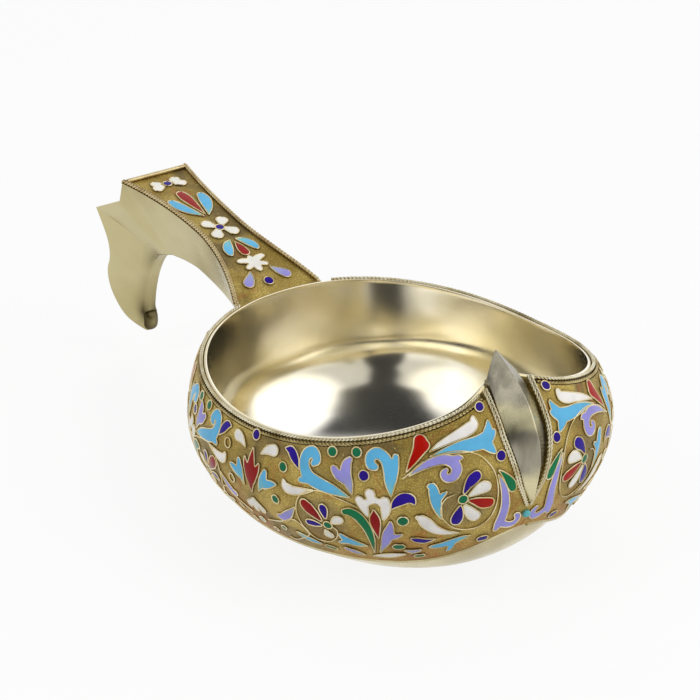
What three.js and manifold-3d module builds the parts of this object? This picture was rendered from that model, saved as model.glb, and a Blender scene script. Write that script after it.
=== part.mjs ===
// A small silver-gilt kovsh, a boat-shaped drinking ladle with cloisonne enamel.
// Millimetres, +Z up, +X towards the prow, +Y to port. The origin is on the table,
// under the middle of the round bowl. Nothing on the piece moves.
import * as THREE from 'three';
import { mergeVertices } from 'three/addons/utils/BufferGeometryUtils.js';
import Module from 'manifold-3d';

// Driving dimensions of the bowl.
const rimHalfLength = 35.2;
const rimHalfWidth = 33.4;
const sideRimHeight = 29.1;
const prowRimRise = 12.2;
const handleRimRise = 3.0;
const prowNip = 4.6;
const prowBelly = 9.4;
const sideBelly = 2.2;
const backBelly = 2.4;
const prowBellyHeight = 25;
const sideBellyHeight = 20;
const backBellyHeight = 18;
const baseFrontReach = 21;
const baseSideReach = 13.5;
const baseBackReach = 15;
const wallThickness = 1.2;
const rimThickness = 1.6;

// Driving dimensions of the enamelled band, its wires and the prow wedge.
const seatGap = 0.3;
const trimGap = 0.15;
const bandThickness = 0.5;
const bandLowerHeight = 8.4;
const bandProwLift = 5.0;
const rimRopeRadius = 0.36;
const borderWireRadius = 0.4;
const prowRopeRadius = 0.38;
const enamelThickness = 0.35;
const wedgeTopHalfWidth = 3.7;
const wedgePeakHeight = 44.1;
const wedgePeakSetback = 0.8;
const wedgeRidgeProud = 2.2;
const wedgeFootHeight = 18.2;
const beadRadius = 1.1;
const bandLeafWidth = 4.0;

// Driving dimensions of the handle.
const handleTopHeight = 40.5;
const handlePanelLength = 42.3;
const handleRootOverhang = 2.6;
const handleRootDrop = 1.5;
const panelRootHalfWidth = 9.8;
const panelWaistHalfWidth = 5.1;
const panelFarHalfWidth = 7.7;
const keelHalfWidth = 1.7;
const hookDrop = 34.6;
const spurReach = 10.1;
const hookTipHalfWidth = 1.6;
const handleSheet = 0.8;
const handleWall = 1.0;
const handleRopeRadius = 0.42;
const panelPetalWidth = 2.4;

// Shares that shape the curves, chosen by eye from the photograph.
const planPowerShare = 2.2;
const planSkewShare = 0.03;
const undersidePowerShare = 1.8;
const rimLipPowerShare = 8;
const wedgeTaperShare = 0.5;
const ridgeShares = [
  [0, 0], [0.127, 0.424], [0.239, 0.682], [0.359, 0.841], [0.486, 0.962],
  [0.587, 1], [0.699, 0.992], [0.873, 0.917], [1, 0.83],
];
const panelBendShare = 0.73;
const panelRiseShare = 0.69;
const waistPlaceShare = 0.54;
const rootFlareShare = 1.8;
const hookTaperShare = 1.2;
const cornerShares = [0.12, 0.123];
const leafTipShare = 0.25;
const petalCutShare = 0.4;
const beadDepthShare = 0.6;
const beadHeightShare = 1.2;
const ringSpreadShare = 1.5;
const stepSpreadShare = 1.2;
const cellMiddleShare = 0.5;
const halfwayShare = 0.5;
const hookBackShares = [
  [1.0, 0.249], [0.77, 0.373], [0.73, 0.46], [0.8, 0.552], [0.99, 0.65],
  [1.09, 0.743], [1.1, 0.824], [0.98, 0.899], [0.8, 0.96], [0.45, 1.0],
];
const hookInnerShares = [
  [-0.36, 0.454], [-0.14, 0.509], [0.04, 0.572], [0.19, 0.639], [0.29, 0.708],
  [0.35, 0.766], [0.376, 0.809], [0.386, 0.838], [0.386, 0.861], [0.386, 0.881],
];
const undersideShares = [
  [1.0, 0.79], [0.853, 0.616], [0.683, 0.478], [0.461, 0.4], [0.333, 0.39], [0.2, 0.405],
];

// Counts of petals.
const rosettePetals = 5;
const trefoilPetals = 3;
const panelPetals = 4;

// Angles round the bowl, in degrees from the prow.
const sheerFadeAngle = 100;
const sheerRoundAngle = 6;
const prowNipAngle = 13;
const bandLiftAngle = 18;

// How finely the curves are cut.
const bowlSegments = 56;
const bowlRings = 9;
const bandSteps = 26;
const bandRings = 5;
const ropeSides = 6;
const ropeSteps = 34;
const prowRopeSteps = 10;
const panelSteps = 8;
const hookSteps = 9;
const panelRopeSteps = 20;
const inlayPoints = 18;
const wedgeSteps = 10;
const beadSides = 10;
const beadRings = 6;
const smallestStep = 0.01;
const samePoint = 0.0001;

const metalRoughness = 0.3;
const metalMetalness = 1;

const wasm = await Module();
wasm.setup();

const part = new THREE.Group();

function degrees(angle) {
  return THREE.MathUtils.radToDeg(angle);
}

function addPiece(name, geometry, colour, metal = true) {
  const material = new THREE.MeshStandardMaterial({
    color: colour,
    roughness: metalRoughness,
    metalness: metal ? metalMetalness : 0,
  });
  const mesh = new THREE.Mesh(geometry, material);
  mesh.name = name;
  part.add(mesh);
}

const gilt = '#b9ae80';
const giltGround = '#937d43';
const silver = '#a9a89c';
const rope = '#a98f5c';
const white = '#e8e4dc';
const turquoise = '#4aa5d6';
const cobalt = '#35198a';
const red = '#a3261f';
const lavender = '#8f8dd2';

// Makes a closed geometry from points and triangles, and turns it so its faces point out.
function closedGeometry(points, triangles) {
  let volume = 0;
  for (const [a, b, c] of triangles) {
    volume += points[a].dot(new THREE.Vector3().crossVectors(points[b], points[c]));
  }
  const index = [];
  for (const [a, b, c] of triangles) {
    index.push(...(volume > 0 ? [a, b, c] : [a, c, b]));
  }
  const geometry = new THREE.BufferGeometry();
  geometry.setFromPoints(points);
  geometry.setIndex(index);
  geometry.computeVertexNormals();
  return geometry;
}

// Joins closed rings of points with the same count, and closes both ends with a fan.
function loft(rings) {
  const count = rings[0].length;
  const points = rings.flat();
  const triangles = [];
  for (let ring = 0; ring < rings.length - 1; ring++) {
    for (let side = 0; side < count; side++) {
      const here = ring * count + side;
      const next = ring * count + (side + 1) % count;
      triangles.push([here, next, next + count], [here, next + count, here + count]);
    }
  }
  const lastRing = (rings.length - 1) * count;
  for (let side = 1; side < count - 1; side++) {
    triangles.push([0, side + 1, side]);
    triangles.push([lastRing, lastRing + side, lastRing + side + 1]);
  }
  return closedGeometry(points, triangles);
}

// A sheet between an outer and an inner grid of points, closed along its four edges.
function sheet(outer, inner) {
  const rows = outer.length;
  const columns = outer[0].length;
  const points = [...outer.flat(), ...inner.flat()];
  const innerStart = rows * columns;
  const triangles = [];
  const quad = (a, b, c, d) => triangles.push([a, b, c], [a, c, d]);
  const at = (row, column) => row * columns + column;
  for (let row = 0; row < rows - 1; row++) {
    for (let column = 0; column < columns - 1; column++) {
      const [a, b] = [at(row, column), at(row, column + 1)];
      const [c, d] = [at(row + 1, column + 1), at(row + 1, column)];
      quad(a, b, c, d);
      quad(innerStart + a, innerStart + d, innerStart + c, innerStart + b);
    }
  }
  for (let column = 0; column < columns - 1; column++) {
    const [a, b] = [at(0, column), at(0, column + 1)];
    const [c, d] = [at(rows - 1, column), at(rows - 1, column + 1)];
    quad(b, a, innerStart + a, innerStart + b);
    quad(c, d, innerStart + d, innerStart + c);
  }
  for (let row = 0; row < rows - 1; row++) {
    const [a, b] = [at(row, 0), at(row + 1, 0)];
    const [c, d] = [at(row, columns - 1), at(row + 1, columns - 1)];
    quad(a, b, innerStart + b, innerStart + a);
    quad(d, c, innerStart + c, innerStart + d);
  }
  return closedGeometry(points, triangles);
}

// A wire: a many-sided section carried along a smooth curve through the given points.
function wire(points, radius, steps) {
  const section = new THREE.Shape();
  for (let side = 0; side < ropeSides; side++) {
    const angle = 2 * Math.PI * side / ropeSides;
    const [x, y] = [radius * Math.cos(angle), radius * Math.sin(angle)];
    if (side === 0) {
      section.moveTo(x, y);
    } else {
      section.lineTo(x, y);
    }
  }
  const extrudePath = new THREE.CatmullRomCurve3(points);
  return new THREE.ExtrudeGeometry(section, { steps, extrudePath, bevelEnabled: false });
}

function toSolid(geometry) {
  const bare = geometry.clone();
  bare.deleteAttribute('normal');
  bare.deleteAttribute('uv');
  const merged = mergeVertices(bare, samePoint);
  return new wasm.Manifold(new wasm.Mesh({
    numProp: 3,
    vertProperties: new Float32Array(merged.attributes.position.array),
    triVerts: new Uint32Array(merged.index.array),
  }));
}

function toGeometry(solid) {
  const mesh = solid.getMesh();
  const geometry = new THREE.BufferGeometry();
  geometry.setAttribute('position', new THREE.BufferAttribute(mesh.vertProperties, mesh.numProp));
  geometry.setIndex(new THREE.BufferAttribute(mesh.triVerts, 1));
  geometry.computeVertexNormals();
  return geometry;
}

// The bowl's shape. An angle of zero is the prow, and both sides are alike.
function fromProw(theta) {
  return Math.abs(degrees(Math.atan2(Math.sin(theta), Math.cos(theta))));
}

function planRadius(theta) {
  const along = Math.abs(Math.cos(theta)) / rimHalfLength;
  const across = Math.abs(Math.sin(theta)) / (rimHalfWidth * (1 + planSkewShare * Math.cos(theta)));
  return (along ** planPowerShare + across ** planPowerShare) ** (-1 / planPowerShare);
}

function nipAt(theta) {
  return prowNip * Math.exp(-((fromProw(theta) / prowNipAngle) ** 2));
}

function rimHeight(theta) {
  const rounded = Math.hypot(fromProw(theta), sheerRoundAngle);
  const sheer = Math.max(0, 1 - rounded / sheerFadeAngle) ** 2;
  const behind = Math.max(0, -Math.cos(theta)) ** 2;
  return sideRimHeight + prowRimRise * sheer + handleRimRise * behind;
}

function roundFromSide(theta, front, side, back) {
  const facing = Math.cos(theta) ** 2;
  return side + ((Math.cos(theta) > 0 ? front : back) - side) * facing;
}

function bowlRadius(theta, z) {
  const swell = roundFromSide(theta, prowBelly - prowNip, sideBelly, backBelly);
  const belly = planRadius(theta) + swell;
  const bellyHeight = roundFromSide(theta, prowBellyHeight, sideBellyHeight, backBellyHeight);
  const base = roundFromSide(theta, baseFrontReach, baseSideReach, baseBackReach);
  if (z < bellyHeight) {
    const down = Math.min(1, 1 - z / bellyHeight) ** undersidePowerShare;
    return base + (belly - base) * (1 - down) ** (1 / undersidePowerShare);
  }
  const up = (z - bellyHeight) / (rimHeight(theta) - bellyHeight);
  return belly - (belly - planRadius(theta) + nipAt(theta)) * up ** 2;
}

// A point of the bowl's outer face, moved out along the face's normal.
function onBowl(theta, z, out = 0) {
  const place = (angle, height) => {
    const radius = bowlRadius(angle, height);
    return new THREE.Vector3(radius * Math.cos(angle), radius * Math.sin(angle), height);
  };
  const point = place(theta, z);
  if (z <= smallestStep) {
    return point.add(new THREE.Vector3(0, 0, -out));
  }
  const aheadStep = smallestStep / rimHalfLength;
  const round = place(theta + aheadStep, z).sub(place(theta - aheadStep, z));
  const up = place(theta, z + smallestStep).sub(place(theta, z - smallestStep));
  const normal = round.cross(up).normalize();
  return point.addScaledVector(normal, out);
}

// A closed bowl-shaped skin between two offsets of the bowl's face.
function bowlRingsAt(out, lastOut, topLift = 0) {
  const rings = [];
  for (let ring = 0; ring <= bowlRings; ring++) {
    const share = (ring / bowlRings) ** ringSpreadShare;
    const points = [];
    for (let side = 0; side < bowlSegments; side++) {
      const theta = 2 * Math.PI * side / bowlSegments;
      const offset = out + (lastOut - out) * share ** rimLipPowerShare;
      const point = onBowl(theta, rimHeight(theta) * share, offset);
      if (ring === bowlRings) {
        point.z = rimHeight(theta) + topLift;
      }
      points.push(point);
    }
    rings.push(points);
  }
  return rings;
}

// Joins closed rings of points, and closes each end with a fan to a point of its own.
function capped(rings, firstPoint, lastPoint) {
  const count = rings[0].length;
  const points = [...rings.flat(), firstPoint, lastPoint];
  const first = points.length - 2;
  const lastRing = first - count;
  const triangles = [];
  for (let ring = 0; ring < rings.length - 1; ring++) {
    for (let side = 0; side < count; side++) {
      const here = ring * count + side;
      const next = ring * count + (side + 1) % count;
      triangles.push([here, next, next + count], [here, next + count, here + count]);
    }
  }
  for (let side = 0; side < count; side++) {
    const next = (side + 1) % count;
    triangles.push([first, next, side]);
    triangles.push([first + 1, lastRing + side, lastRing + next]);
  }
  return closedGeometry(points, triangles);
}

function middleAt(z) {
  return new THREE.Vector3(0, 0, z);
}

function bowlShell() {
  const outer = bowlRingsAt(0, 0);
  const inner = bowlRingsAt(-wallThickness, -rimThickness).reverse();
  return capped([...outer, ...inner], middleAt(0), middleAt(wallThickness));
}

// The bowl with its gap, filled up, for cutting what is seated against it.
function grownBowl() {
  const outer = bowlRingsAt(seatGap, seatGap, seatGap);
  return capped(outer, middleAt(-seatGap), middleAt(rimHeight(0) + seatGap));
}

// The band runs from its lower border to just under the rim wires, from the wedge to the handle.
function bandLower(theta) {
  return bandLowerHeight + bandProwLift * Math.exp(-((fromProw(theta) / bandLiftAngle) ** 2));
}

function bandUpper(theta) {
  return rimHeight(theta) - 4 * rimRopeRadius - 3 * trimGap;
}

function wedgeHalfWidth(z) {
  const top = rimHeight(0);
  const share = THREE.MathUtils.clamp((z - wedgeFootHeight) / (top - wedgeFootHeight), 0, 1);
  return wedgeTopHalfWidth * share ** wedgeTaperShare;
}

function bandFront(z) {
  return (wedgeHalfWidth(z) + seatGap) / bowlRadius(0, z);
}

function sideSign(side) {
  return side === 'port' ? 1 : -1;
}

// The band and the wires stop just short of the handle's root.
function bandBack() {
  return Math.PI - Math.asin((panelRootHalfWidth + 2 * seatGap) / (rimHalfLength + bandThickness));
}

function enamelBand(side) {
  const grids = [[], []];
  for (let ring = 0; ring <= bandRings; ring++) {
    const share = ring / bandRings;
    const rows = [[], []];
    for (let step = 0; step <= bandSteps; step++) {
      const last = bandBack();
      const along = (step / bandSteps) ** stepSpreadShare;
      const rough = along * last;
      const roughZ = THREE.MathUtils.lerp(bandLower(rough), bandUpper(rough), share);
      const theta = THREE.MathUtils.lerp(bandFront(roughZ), last, along);
      const z = THREE.MathUtils.lerp(bandLower(theta), bandUpper(theta), share);
      const turned = sideSign(side) * theta;
      rows[0].push(onBowl(turned, z, seatGap + bandThickness));
      rows[1].push(onBowl(turned, z, seatGap));
    }
    grids[0].push(rows[0]);
    grids[1].push(rows[1]);
  }
  return sheet(...grids);
}

// A wire that follows the rim or the lower border, from the wedge to the handle.
function roundWire(side, height, radius, out) {
  const points = [];
  for (let step = 0; step <= ropeSteps; step++) {
    const last = bandBack();
    const along = (step / ropeSteps) ** stepSpreadShare;
    const start = bandFront(height(0)) + (prowRopeRadius + radius) * 2 / bowlRadius(0, height(0));
    const theta = THREE.MathUtils.lerp(start, last, along);
    points.push(onBowl(sideSign(side) * theta, height(theta), out));
  }
  return wire(points, radius, ropeSteps);
}

// A twisted wire beside the wedge, from the rim down to the point of the V.
function prowWire(side, row) {
  const points = [];
  const top = rimHeight(0) - 4 * rimRopeRadius;
  const foot = wedgeFootHeight + (row + 1) * prowRopeRadius;
  for (let step = 0; step <= prowRopeSteps; step++) {
    const z = THREE.MathUtils.lerp(foot, top, step / prowRopeSteps);
    const across = wedgeHalfWidth(z) + seatGap + prowRopeRadius + row * (2 * prowRopeRadius + trimGap);
    const theta = sideSign(side) * across / bowlRadius(0, z);
    points.push(onBowl(theta, z, 2 * seatGap + bandThickness + prowRopeRadius));
  }
  return wire(points, prowRopeRadius, prowRopeSteps);
}

// The silver wedge that closes the prow: a sharp ridge between two flat faces. Its crest
// runs from a peak over the rim, out past the belly, and back in to the point of the V.
function wedgeCrest() {
  const belly = bowlRadius(0, prowBellyHeight) + seatGap + bandThickness + wedgeRidgeProud;
  const peak = bowlRadius(0, rimHeight(0)) - wedgePeakSetback;
  return new THREE.SplineCurve(ridgeShares.map(([down, out]) => new THREE.Vector2(
    THREE.MathUtils.lerp(peak, belly, out),
    THREE.MathUtils.lerp(wedgePeakHeight, wedgeFootHeight, down),
  )));
}

function prowWedge() {
  const rim = rimHeight(0);
  const crest = wedgeCrest();
  const lastShare = 1 - beadRadius / (wedgePeakHeight - wedgeFootHeight);
  const rings = [];
  for (let step = 0; step <= wedgeSteps; step++) {
    const share = lastShare * step / wedgeSteps;
    const edgeZ = THREE.MathUtils.lerp(rim - seatGap, wedgeFootHeight, share);
    const angle = wedgeHalfWidth(edgeZ) / bowlRadius(0, edgeZ);
    const outer = onBowl(angle, edgeZ, seatGap + bandThickness);
    const inner = onBowl(angle, edgeZ, seatGap);
    const ridge = crest.getPoint(share);
    rings.push([
      new THREE.Vector3(ridge.x, 0, ridge.y),
      outer,
      inner,
      onBowl(0, edgeZ, seatGap),
      inner.clone().setY(-inner.y),
      outer.clone().setY(-outer.y),
    ]);
  }
  return loft(rings);
}

// Outlines of the enamelled cells, as a point round the cell's middle. Lengths run along a,
// and a full turn of phi goes once round.
function ovalCell(length, width) {
  return (phi) => [length * Math.cos(phi) / 2, width * Math.sin(phi) / 2];
}

function leafCell(length, width) {
  return (phi) => {
    const narrowing = THREE.MathUtils.lerp(leafTipShare, 1, Math.sin(phi / 2) ** 2);
    return [length * Math.cos(phi) / 2, width * narrowing * Math.sin(phi) / 2];
  };
}

function flowerCell(length, petals) {
  return (phi) => {
    const lobe = THREE.MathUtils.lerp(1 - petalCutShare, 1, Math.abs(Math.cos(petals * phi / 2)));
    const reach = length * lobe / 2;
    return [reach * Math.cos(phi), reach * Math.sin(phi)];
  };
}

// A thin plate of enamel over a face: place(a, b, out) gives a point of that face.
function cell(outline, place, out) {
  const ring = (share, lift) => {
    const points = [];
    for (let side = 0; side < inlayPoints; side++) {
      const [a, b] = outline(2 * Math.PI * side / inlayPoints);
      points.push(place(a * share, b * share, lift));
    }
    return points;
  };
  const top = out + enamelThickness;
  const rings = [ring(cellMiddleShare, top), ring(1, top), ring(1, out), ring(cellMiddleShare, out)];
  return capped(rings, place(0, 0, top), place(0, 0, out));
}

// A face of the band, turned so that a runs from one point of the band to another.
function bandFace(side, from, to) {
  const at = ([turn, rise]) => {
    const theta = turn * Math.PI;
    return [theta, THREE.MathUtils.lerp(bandLower(theta), bandUpper(theta), rise)];
  };
  const [theta, z] = at([(from[0] + to[0]) / 2, (from[1] + to[1]) / 2]);
  const radius = bowlRadius(theta, z);
  const [first, last] = [at(from), at(to)];
  const turn = Math.atan2(last[1] - first[1], (last[0] - first[0]) * radius);
  return (a, b, out) => {
    const along = a * Math.cos(turn) - b * Math.sin(turn);
    const up = a * Math.sin(turn) + b * Math.cos(turn);
    return onBowl(sideSign(side) * (theta + along / radius), z + up, out);
  };
}

function bandSpan(from, to) {
  const theta = (from[0] + to[0]) * Math.PI / 2;
  const height = bandUpper(theta) - bandLower(theta);
  const radius = bowlRadius(theta, bandUpper(theta));
  return Math.hypot((to[0] - from[0]) * Math.PI * radius, (to[1] - from[1]) * height);
}

// The drop of enamel that ends the V under the wedge.
function prowBead() {
  const z = wedgeFootHeight - 2 * beadRadius;
  const bead = new THREE.SphereGeometry(beadRadius, beadSides, beadRings);
  bead.scale(beadDepthShare, 1, beadHeightShare);
  const seat = onBowl(0, z, 2 * seatGap + bandThickness + beadRadius * beadDepthShare);
  bead.translate(seat.x, seat.y, seat.z);
  return bead;
}

// The handle's side profile, in the X-Z plane. Each station joins a point of the outer line,
// over the top and down the hook's back, to a point of the inner line under the grip.
const rootEnd = new THREE.Vector2(-rimHalfLength - handleRootOverhang, rimHeight(Math.PI) - handleRootDrop);
const farEnd = new THREE.Vector2(rootEnd.x - handlePanelLength, handleTopHeight);
const panelLine = new THREE.QuadraticBezierCurve(
  rootEnd,
  new THREE.Vector2(
    THREE.MathUtils.lerp(farEnd.x, rootEnd.x, panelBendShare),
    THREE.MathUtils.lerp(rootEnd.y, farEnd.y, panelRiseShare),
  ),
  farEnd,
);

function hookPoint([back, down]) {
  return new THREE.Vector2(farEnd.x - back * spurReach, farEnd.y - down * hookDrop);
}

function undersidePoint([ahead, down]) {
  return new THREE.Vector2(farEnd.x + ahead * handlePanelLength, farEnd.y - down * hookDrop);
}

function panelHalfWidth(x) {
  const waist = THREE.MathUtils.lerp(farEnd.x, rootEnd.x, waistPlaceShare);
  if (x < waist) {
    const widening = ((waist - x) / (waist - farEnd.x)) ** 2;
    return THREE.MathUtils.lerp(panelWaistHalfWidth, panelFarHalfWidth, widening);
  }
  const flare = Math.min(1, (x - waist) / (rootEnd.x - waist)) ** rootFlareShare;
  return THREE.MathUtils.lerp(panelWaistHalfWidth, panelRootHalfWidth, flare);
}

function station(outer, inner, half, keel = keelHalfWidth) {
  return { outer, inner, half, keel };
}

function betweenStations(a, b, share) {
  return station(
    a.outer.clone().lerp(b.outer, share),
    a.inner.clone().lerp(b.inner, share),
    THREE.MathUtils.lerp(a.half, b.half, share),
    THREE.MathUtils.lerp(a.keel, b.keel, share),
  );
}

// The same station list with its first station moved along by the seat gap.
function afterGap(stations) {
  const length = stations[0].outer.distanceTo(stations[1].outer);
  return [betweenStations(stations[0], stations[1], seatGap / length), ...stations.slice(1)];
}

function panelStations() {
  const underside = new THREE.SplineCurve(undersideShares.map(undersidePoint));
  const stations = [];
  for (let step = 0; step <= panelSteps; step++) {
    const outer = panelLine.getPoint(step / panelSteps);
    stations.push(station(outer, underside.getPoint(step / panelSteps), panelHalfWidth(outer.x)));
  }
  const buried = betweenStations(stations[0], stations[1], -1);
  buried.half = stations[0].half;
  return [buried, ...stations];
}

function hookStations() {
  const back = new THREE.SplineCurve(hookBackShares.map(hookPoint));
  const inner = new THREE.SplineCurve(hookInnerShares.map(hookPoint));
  const stations = [];
  for (let step = 0; step <= hookSteps; step++) {
    const share = step / hookSteps;
    const half = THREE.MathUtils.lerp(panelFarHalfWidth, hookTipHalfWidth, share ** hookTaperShare);
    const keel = Math.min(keelHalfWidth, half);
    stations.push(station(back.getPoint(share), inner.getPoint(share), half, keel));
  }
  return stations;
}

const alongPanel = panelStations();
const alongHook = hookStations();
const farStation = alongPanel[alongPanel.length - 1];
const cornerStation = station(
  hookPoint(cornerShares),
  farStation.inner.clone().lerp(alongHook[0].inner, halfwayShare),
  panelFarHalfWidth,
);
const alongEnd = [farStation, cornerStation, alongHook[0]];
const wholeHandle = [...alongPanel, cornerStation, ...alongHook];

// A point of a station's section: a depth in from the outer line, and a distance off the middle.
function sectionPoint(at, depth, y) {
  const inward = at.inner.clone().sub(at.outer).normalize();
  const place = at.outer.clone().addScaledVector(inward, depth);
  return new THREE.Vector3(place.x, y, place.y);
}

function sectionHalf(at, depth) {
  return THREE.MathUtils.lerp(at.half, at.keel, depth / at.outer.distanceTo(at.inner));
}

function crossStrip(stations, from, to) {
  return loft(stations.map((at) => {
    const [near, far] = [from(at), to(at)];
    return [
      sectionPoint(at, near, sectionHalf(at, near)),
      sectionPoint(at, near, -sectionHalf(at, near)),
      sectionPoint(at, far, -sectionHalf(at, far)),
      sectionPoint(at, far, sectionHalf(at, far)),
    ];
  }));
}

function handleSide(side) {
  const sign = sideSign(side);
  return loft(wholeHandle.map((at) => {
    const near = handleSheet + seatGap;
    const far = at.outer.distanceTo(at.inner) - handleSheet - seatGap;
    const wall = (depth) => Math.min(handleWall, sectionHalf(at, depth) - trimGap);
    return [
      sectionPoint(at, near, sign * sectionHalf(at, near)),
      sectionPoint(at, near, sign * (sectionHalf(at, near) - wall(near))),
      sectionPoint(at, far, sign * (sectionHalf(at, far) - wall(far))),
      sectionPoint(at, far, sign * sectionHalf(at, far)),
    ];
  }));
}

const outerFace = () => 0;
const sheetDepth = () => handleSheet;
const innerFace = (at) => at.outer.distanceTo(at.inner);
const keelDepth = (at) => innerFace(at) - handleSheet;

// A point over the enamelled top of the handle, at a share of its length from the root.
function onPanel(share, y, out = 0) {
  const place = panelLine.getPoint(share);
  const slope = panelLine.getTangent(share);
  const lift = new THREE.Vector2(slope.y, -slope.x);
  if (lift.y < 0) {
    lift.negate();
  }
  return new THREE.Vector3(place.x + lift.x * out, y, place.y + lift.y * out);
}

// A face of the handle's top, turned so that a runs between two points given as shares of
// the panel's length from the root, and of its half width.
function panelFace(from, to) {
  const at = ([along, off]) => [along * handlePanelLength, off * panelWaistHalfWidth];
  const [first, last] = [at(from), at(to)];
  const middle = [(first[0] + last[0]) / 2, (first[1] + last[1]) / 2];
  const turn = Math.atan2(last[1] - first[1], last[0] - first[0]);
  return (a, b, out) => {
    const along = middle[0] + a * Math.cos(turn) - b * Math.sin(turn);
    const off = middle[1] + a * Math.sin(turn) + b * Math.cos(turn);
    return onPanel(along / handlePanelLength, off, out);
  };
}

function panelSpan(from, to) {
  const along = (to[0] - from[0]) * handlePanelLength;
  return Math.hypot(along, (to[1] - from[1]) * panelWaistHalfWidth);
}

function handleRope(side) {
  const points = [];
  for (let step = -1; step <= panelRopeSteps; step++) {
    const share = step / panelRopeSteps;
    const x = panelLine.getPoint(share).x;
    const y = sideSign(side) * (panelHalfWidth(x) - handleRopeRadius);
    points.push(onPanel(share, y, trimGap + handleRopeRadius));
  }
  return wire(points, handleRopeRadius, panelRopeSteps);
}

function handleEndWire() {
  const reach = panelFarHalfWidth - 2 * handleRopeRadius - trimGap;
  const share = 1 - handleRopeRadius / handlePanelLength;
  const lift = trimGap + handleRopeRadius;
  const ends = [-reach, 0, reach].map((y) => onPanel(share, y, lift));
  return wire(ends, handleRopeRadius, 2);
}

// The enamelled cells of the band and of the handle. Each row gives a name, a colour, the
// two ends of the cell and a shape. The ends are shares: of half a turn and of the band's
// height, or of the panel's length and of its waist's half width.
const bandCellShares = [
  ['leaf_white_fore', white, [0.075, 0.9], [0.144, 0.86], leafCell, bandLeafWidth],
  ['leaf_turquoise_fore', turquoise, [0.062, 0.74], [0.15, 0.7], leafCell, bandLeafWidth],
  ['leaf_red_fore', red, [0.19, 0.7], [0.165, 0.94], leafCell, bandLeafWidth],
  ['rosette_fore', white, [0.125, 0.5], [0.065, 0.5], flowerCell, rosettePetals],
  ['leaf_turquoise_low', turquoise, [0.155, 0.13], [0.085, 0.19], leafCell, bandLeafWidth],
  ['trefoil_white', white, [0.265, 0.66], [0.215, 0.66], flowerCell, trefoilPetals],
  ['rosette_mid', cobalt, [0.337, 0.44], [0.285, 0.44], flowerCell, rosettePetals],
  ['scroll_turquoise', turquoise, [0.345, 0.82], [0.275, 0.8], leafCell, bandLeafWidth],
  ['tulip_red', red, [0.439, 0.86], [0.439, 0.45], leafCell, bandLeafWidth],
  ['leaf_lavender_aft', lavender, [0.62, 0.52], [0.56, 0.88], leafCell, bandLeafWidth],
];
const panelCellShares = [
  ['bud_white_port', white, [0.875, 0.12], [0.875, 0.72], ovalCell, panelPetalWidth],
  ['bud_white_starboard', white, [0.875, -0.12], [0.875, -0.72], ovalCell, panelPetalWidth],
  ['tulip_heart', red, [0.78, 0], [0.6, 0], leafCell, panelPetalWidth],
  ['tulip_leaf_port', turquoise, [0.77, 0.66], [0.58, 0.14], leafCell, panelPetalWidth],
  ['tulip_leaf_starboard', turquoise, [0.77, -0.66], [0.58, -0.14], leafCell, panelPetalWidth],
  ['panel_flower', white, [0.36, 0], [0.56, 0], flowerCell, panelPetals],
  ['sprig_heart', red, [0.22, 0], [0.33, 0], leafCell, panelPetalWidth],
  ['sprig_leaf_port', turquoise, [0.24, 0.66], [0.34, 0.2], leafCell, panelPetalWidth],
  ['sprig_leaf_starboard', turquoise, [0.24, -0.66], [0.34, -0.2], leafCell, panelPetalWidth],
  ['drop_lavender_port', lavender, [0.06, 0.95], [0.17, 0.35], leafCell, panelPetalWidth],
  ['drop_lavender_starboard', lavender, [0.06, -0.95], [0.17, -0.35], leafCell, panelPetalWidth],
  ['panel_dot', cobalt, [0.1, 0], [0.055, 0], ovalCell, panelPetalWidth],
];

const bowlSolid = toSolid(grownBowl());

function seatedOnBowl(geometry) {
  return toGeometry(toSolid(geometry).subtract(bowlSolid));
}

addPiece('bowl_shell', bowlShell(), gilt);
addPiece('prow_wedge', prowWedge(), silver);
addPiece('prow_bead', prowBead(), turquoise, false);
for (const side of ['port', 'starboard']) {
  addPiece(`enamel_band_${side}`, enamelBand(side), giltGround);
  const wireOut = seatGap + rimRopeRadius;
  const upperRope = (theta) => rimHeight(theta) - rimRopeRadius;
  const lowerRope = (theta) => rimHeight(theta) - 3 * rimRopeRadius - trimGap;
  const border = (theta) => bandLower(theta) - borderWireRadius - trimGap;
  addPiece(`rim_rope_${side}`, roundWire(side, upperRope, rimRopeRadius, wireOut), rope);
  addPiece(`lower_rope_${side}`, roundWire(side, lowerRope, rimRopeRadius, wireOut), rope);
  const borderOut = seatGap + borderWireRadius;
  addPiece(`border_wire_${side}`, roundWire(side, border, borderWireRadius, borderOut), gilt);
  addPiece(`prow_rope_inner_${side}`, prowWire(side, 0), rope);
  addPiece(`prow_rope_outer_${side}`, prowWire(side, 1), rope);
}

addPiece('handle_top_plate', seatedOnBowl(crossStrip(alongPanel, outerFace, sheetDepth)), giltGround);
addPiece('handle_end_plate', crossStrip(afterGap(alongEnd), outerFace, sheetDepth), gilt);
addPiece('handle_back_plate', crossStrip(afterGap(alongHook), outerFace, sheetDepth), gilt);
addPiece('handle_keel_strip', seatedOnBowl(crossStrip(wholeHandle, keelDepth, innerFace)), gilt);
addPiece('handle_end_wire', handleEndWire(), gilt);
for (const side of ['port', 'starboard']) {
  addPiece(`handle_side_${side}`, seatedOnBowl(handleSide(side)), gilt);
  addPiece(`handle_rope_${side}`, seatedOnBowl(handleRope(side)), rope);
}

for (const side of ['port', 'starboard']) {
  for (const [name, colour, from, to, shape, second] of bandCellShares) {
    const outline = shape(bandSpan(from, to), second);
    const seat = 2 * seatGap + bandThickness;
    addPiece(`${name}_${side}`, cell(outline, bandFace(side, from, to), seat), colour, false);
  }
}
for (const [name, colour, from, to, shape, second] of panelCellShares) {
  const outline = shape(panelSpan(from, to), second);
  addPiece(name, cell(outline, panelFace(from, to), seatGap), colour, false);
}

export default part;
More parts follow.
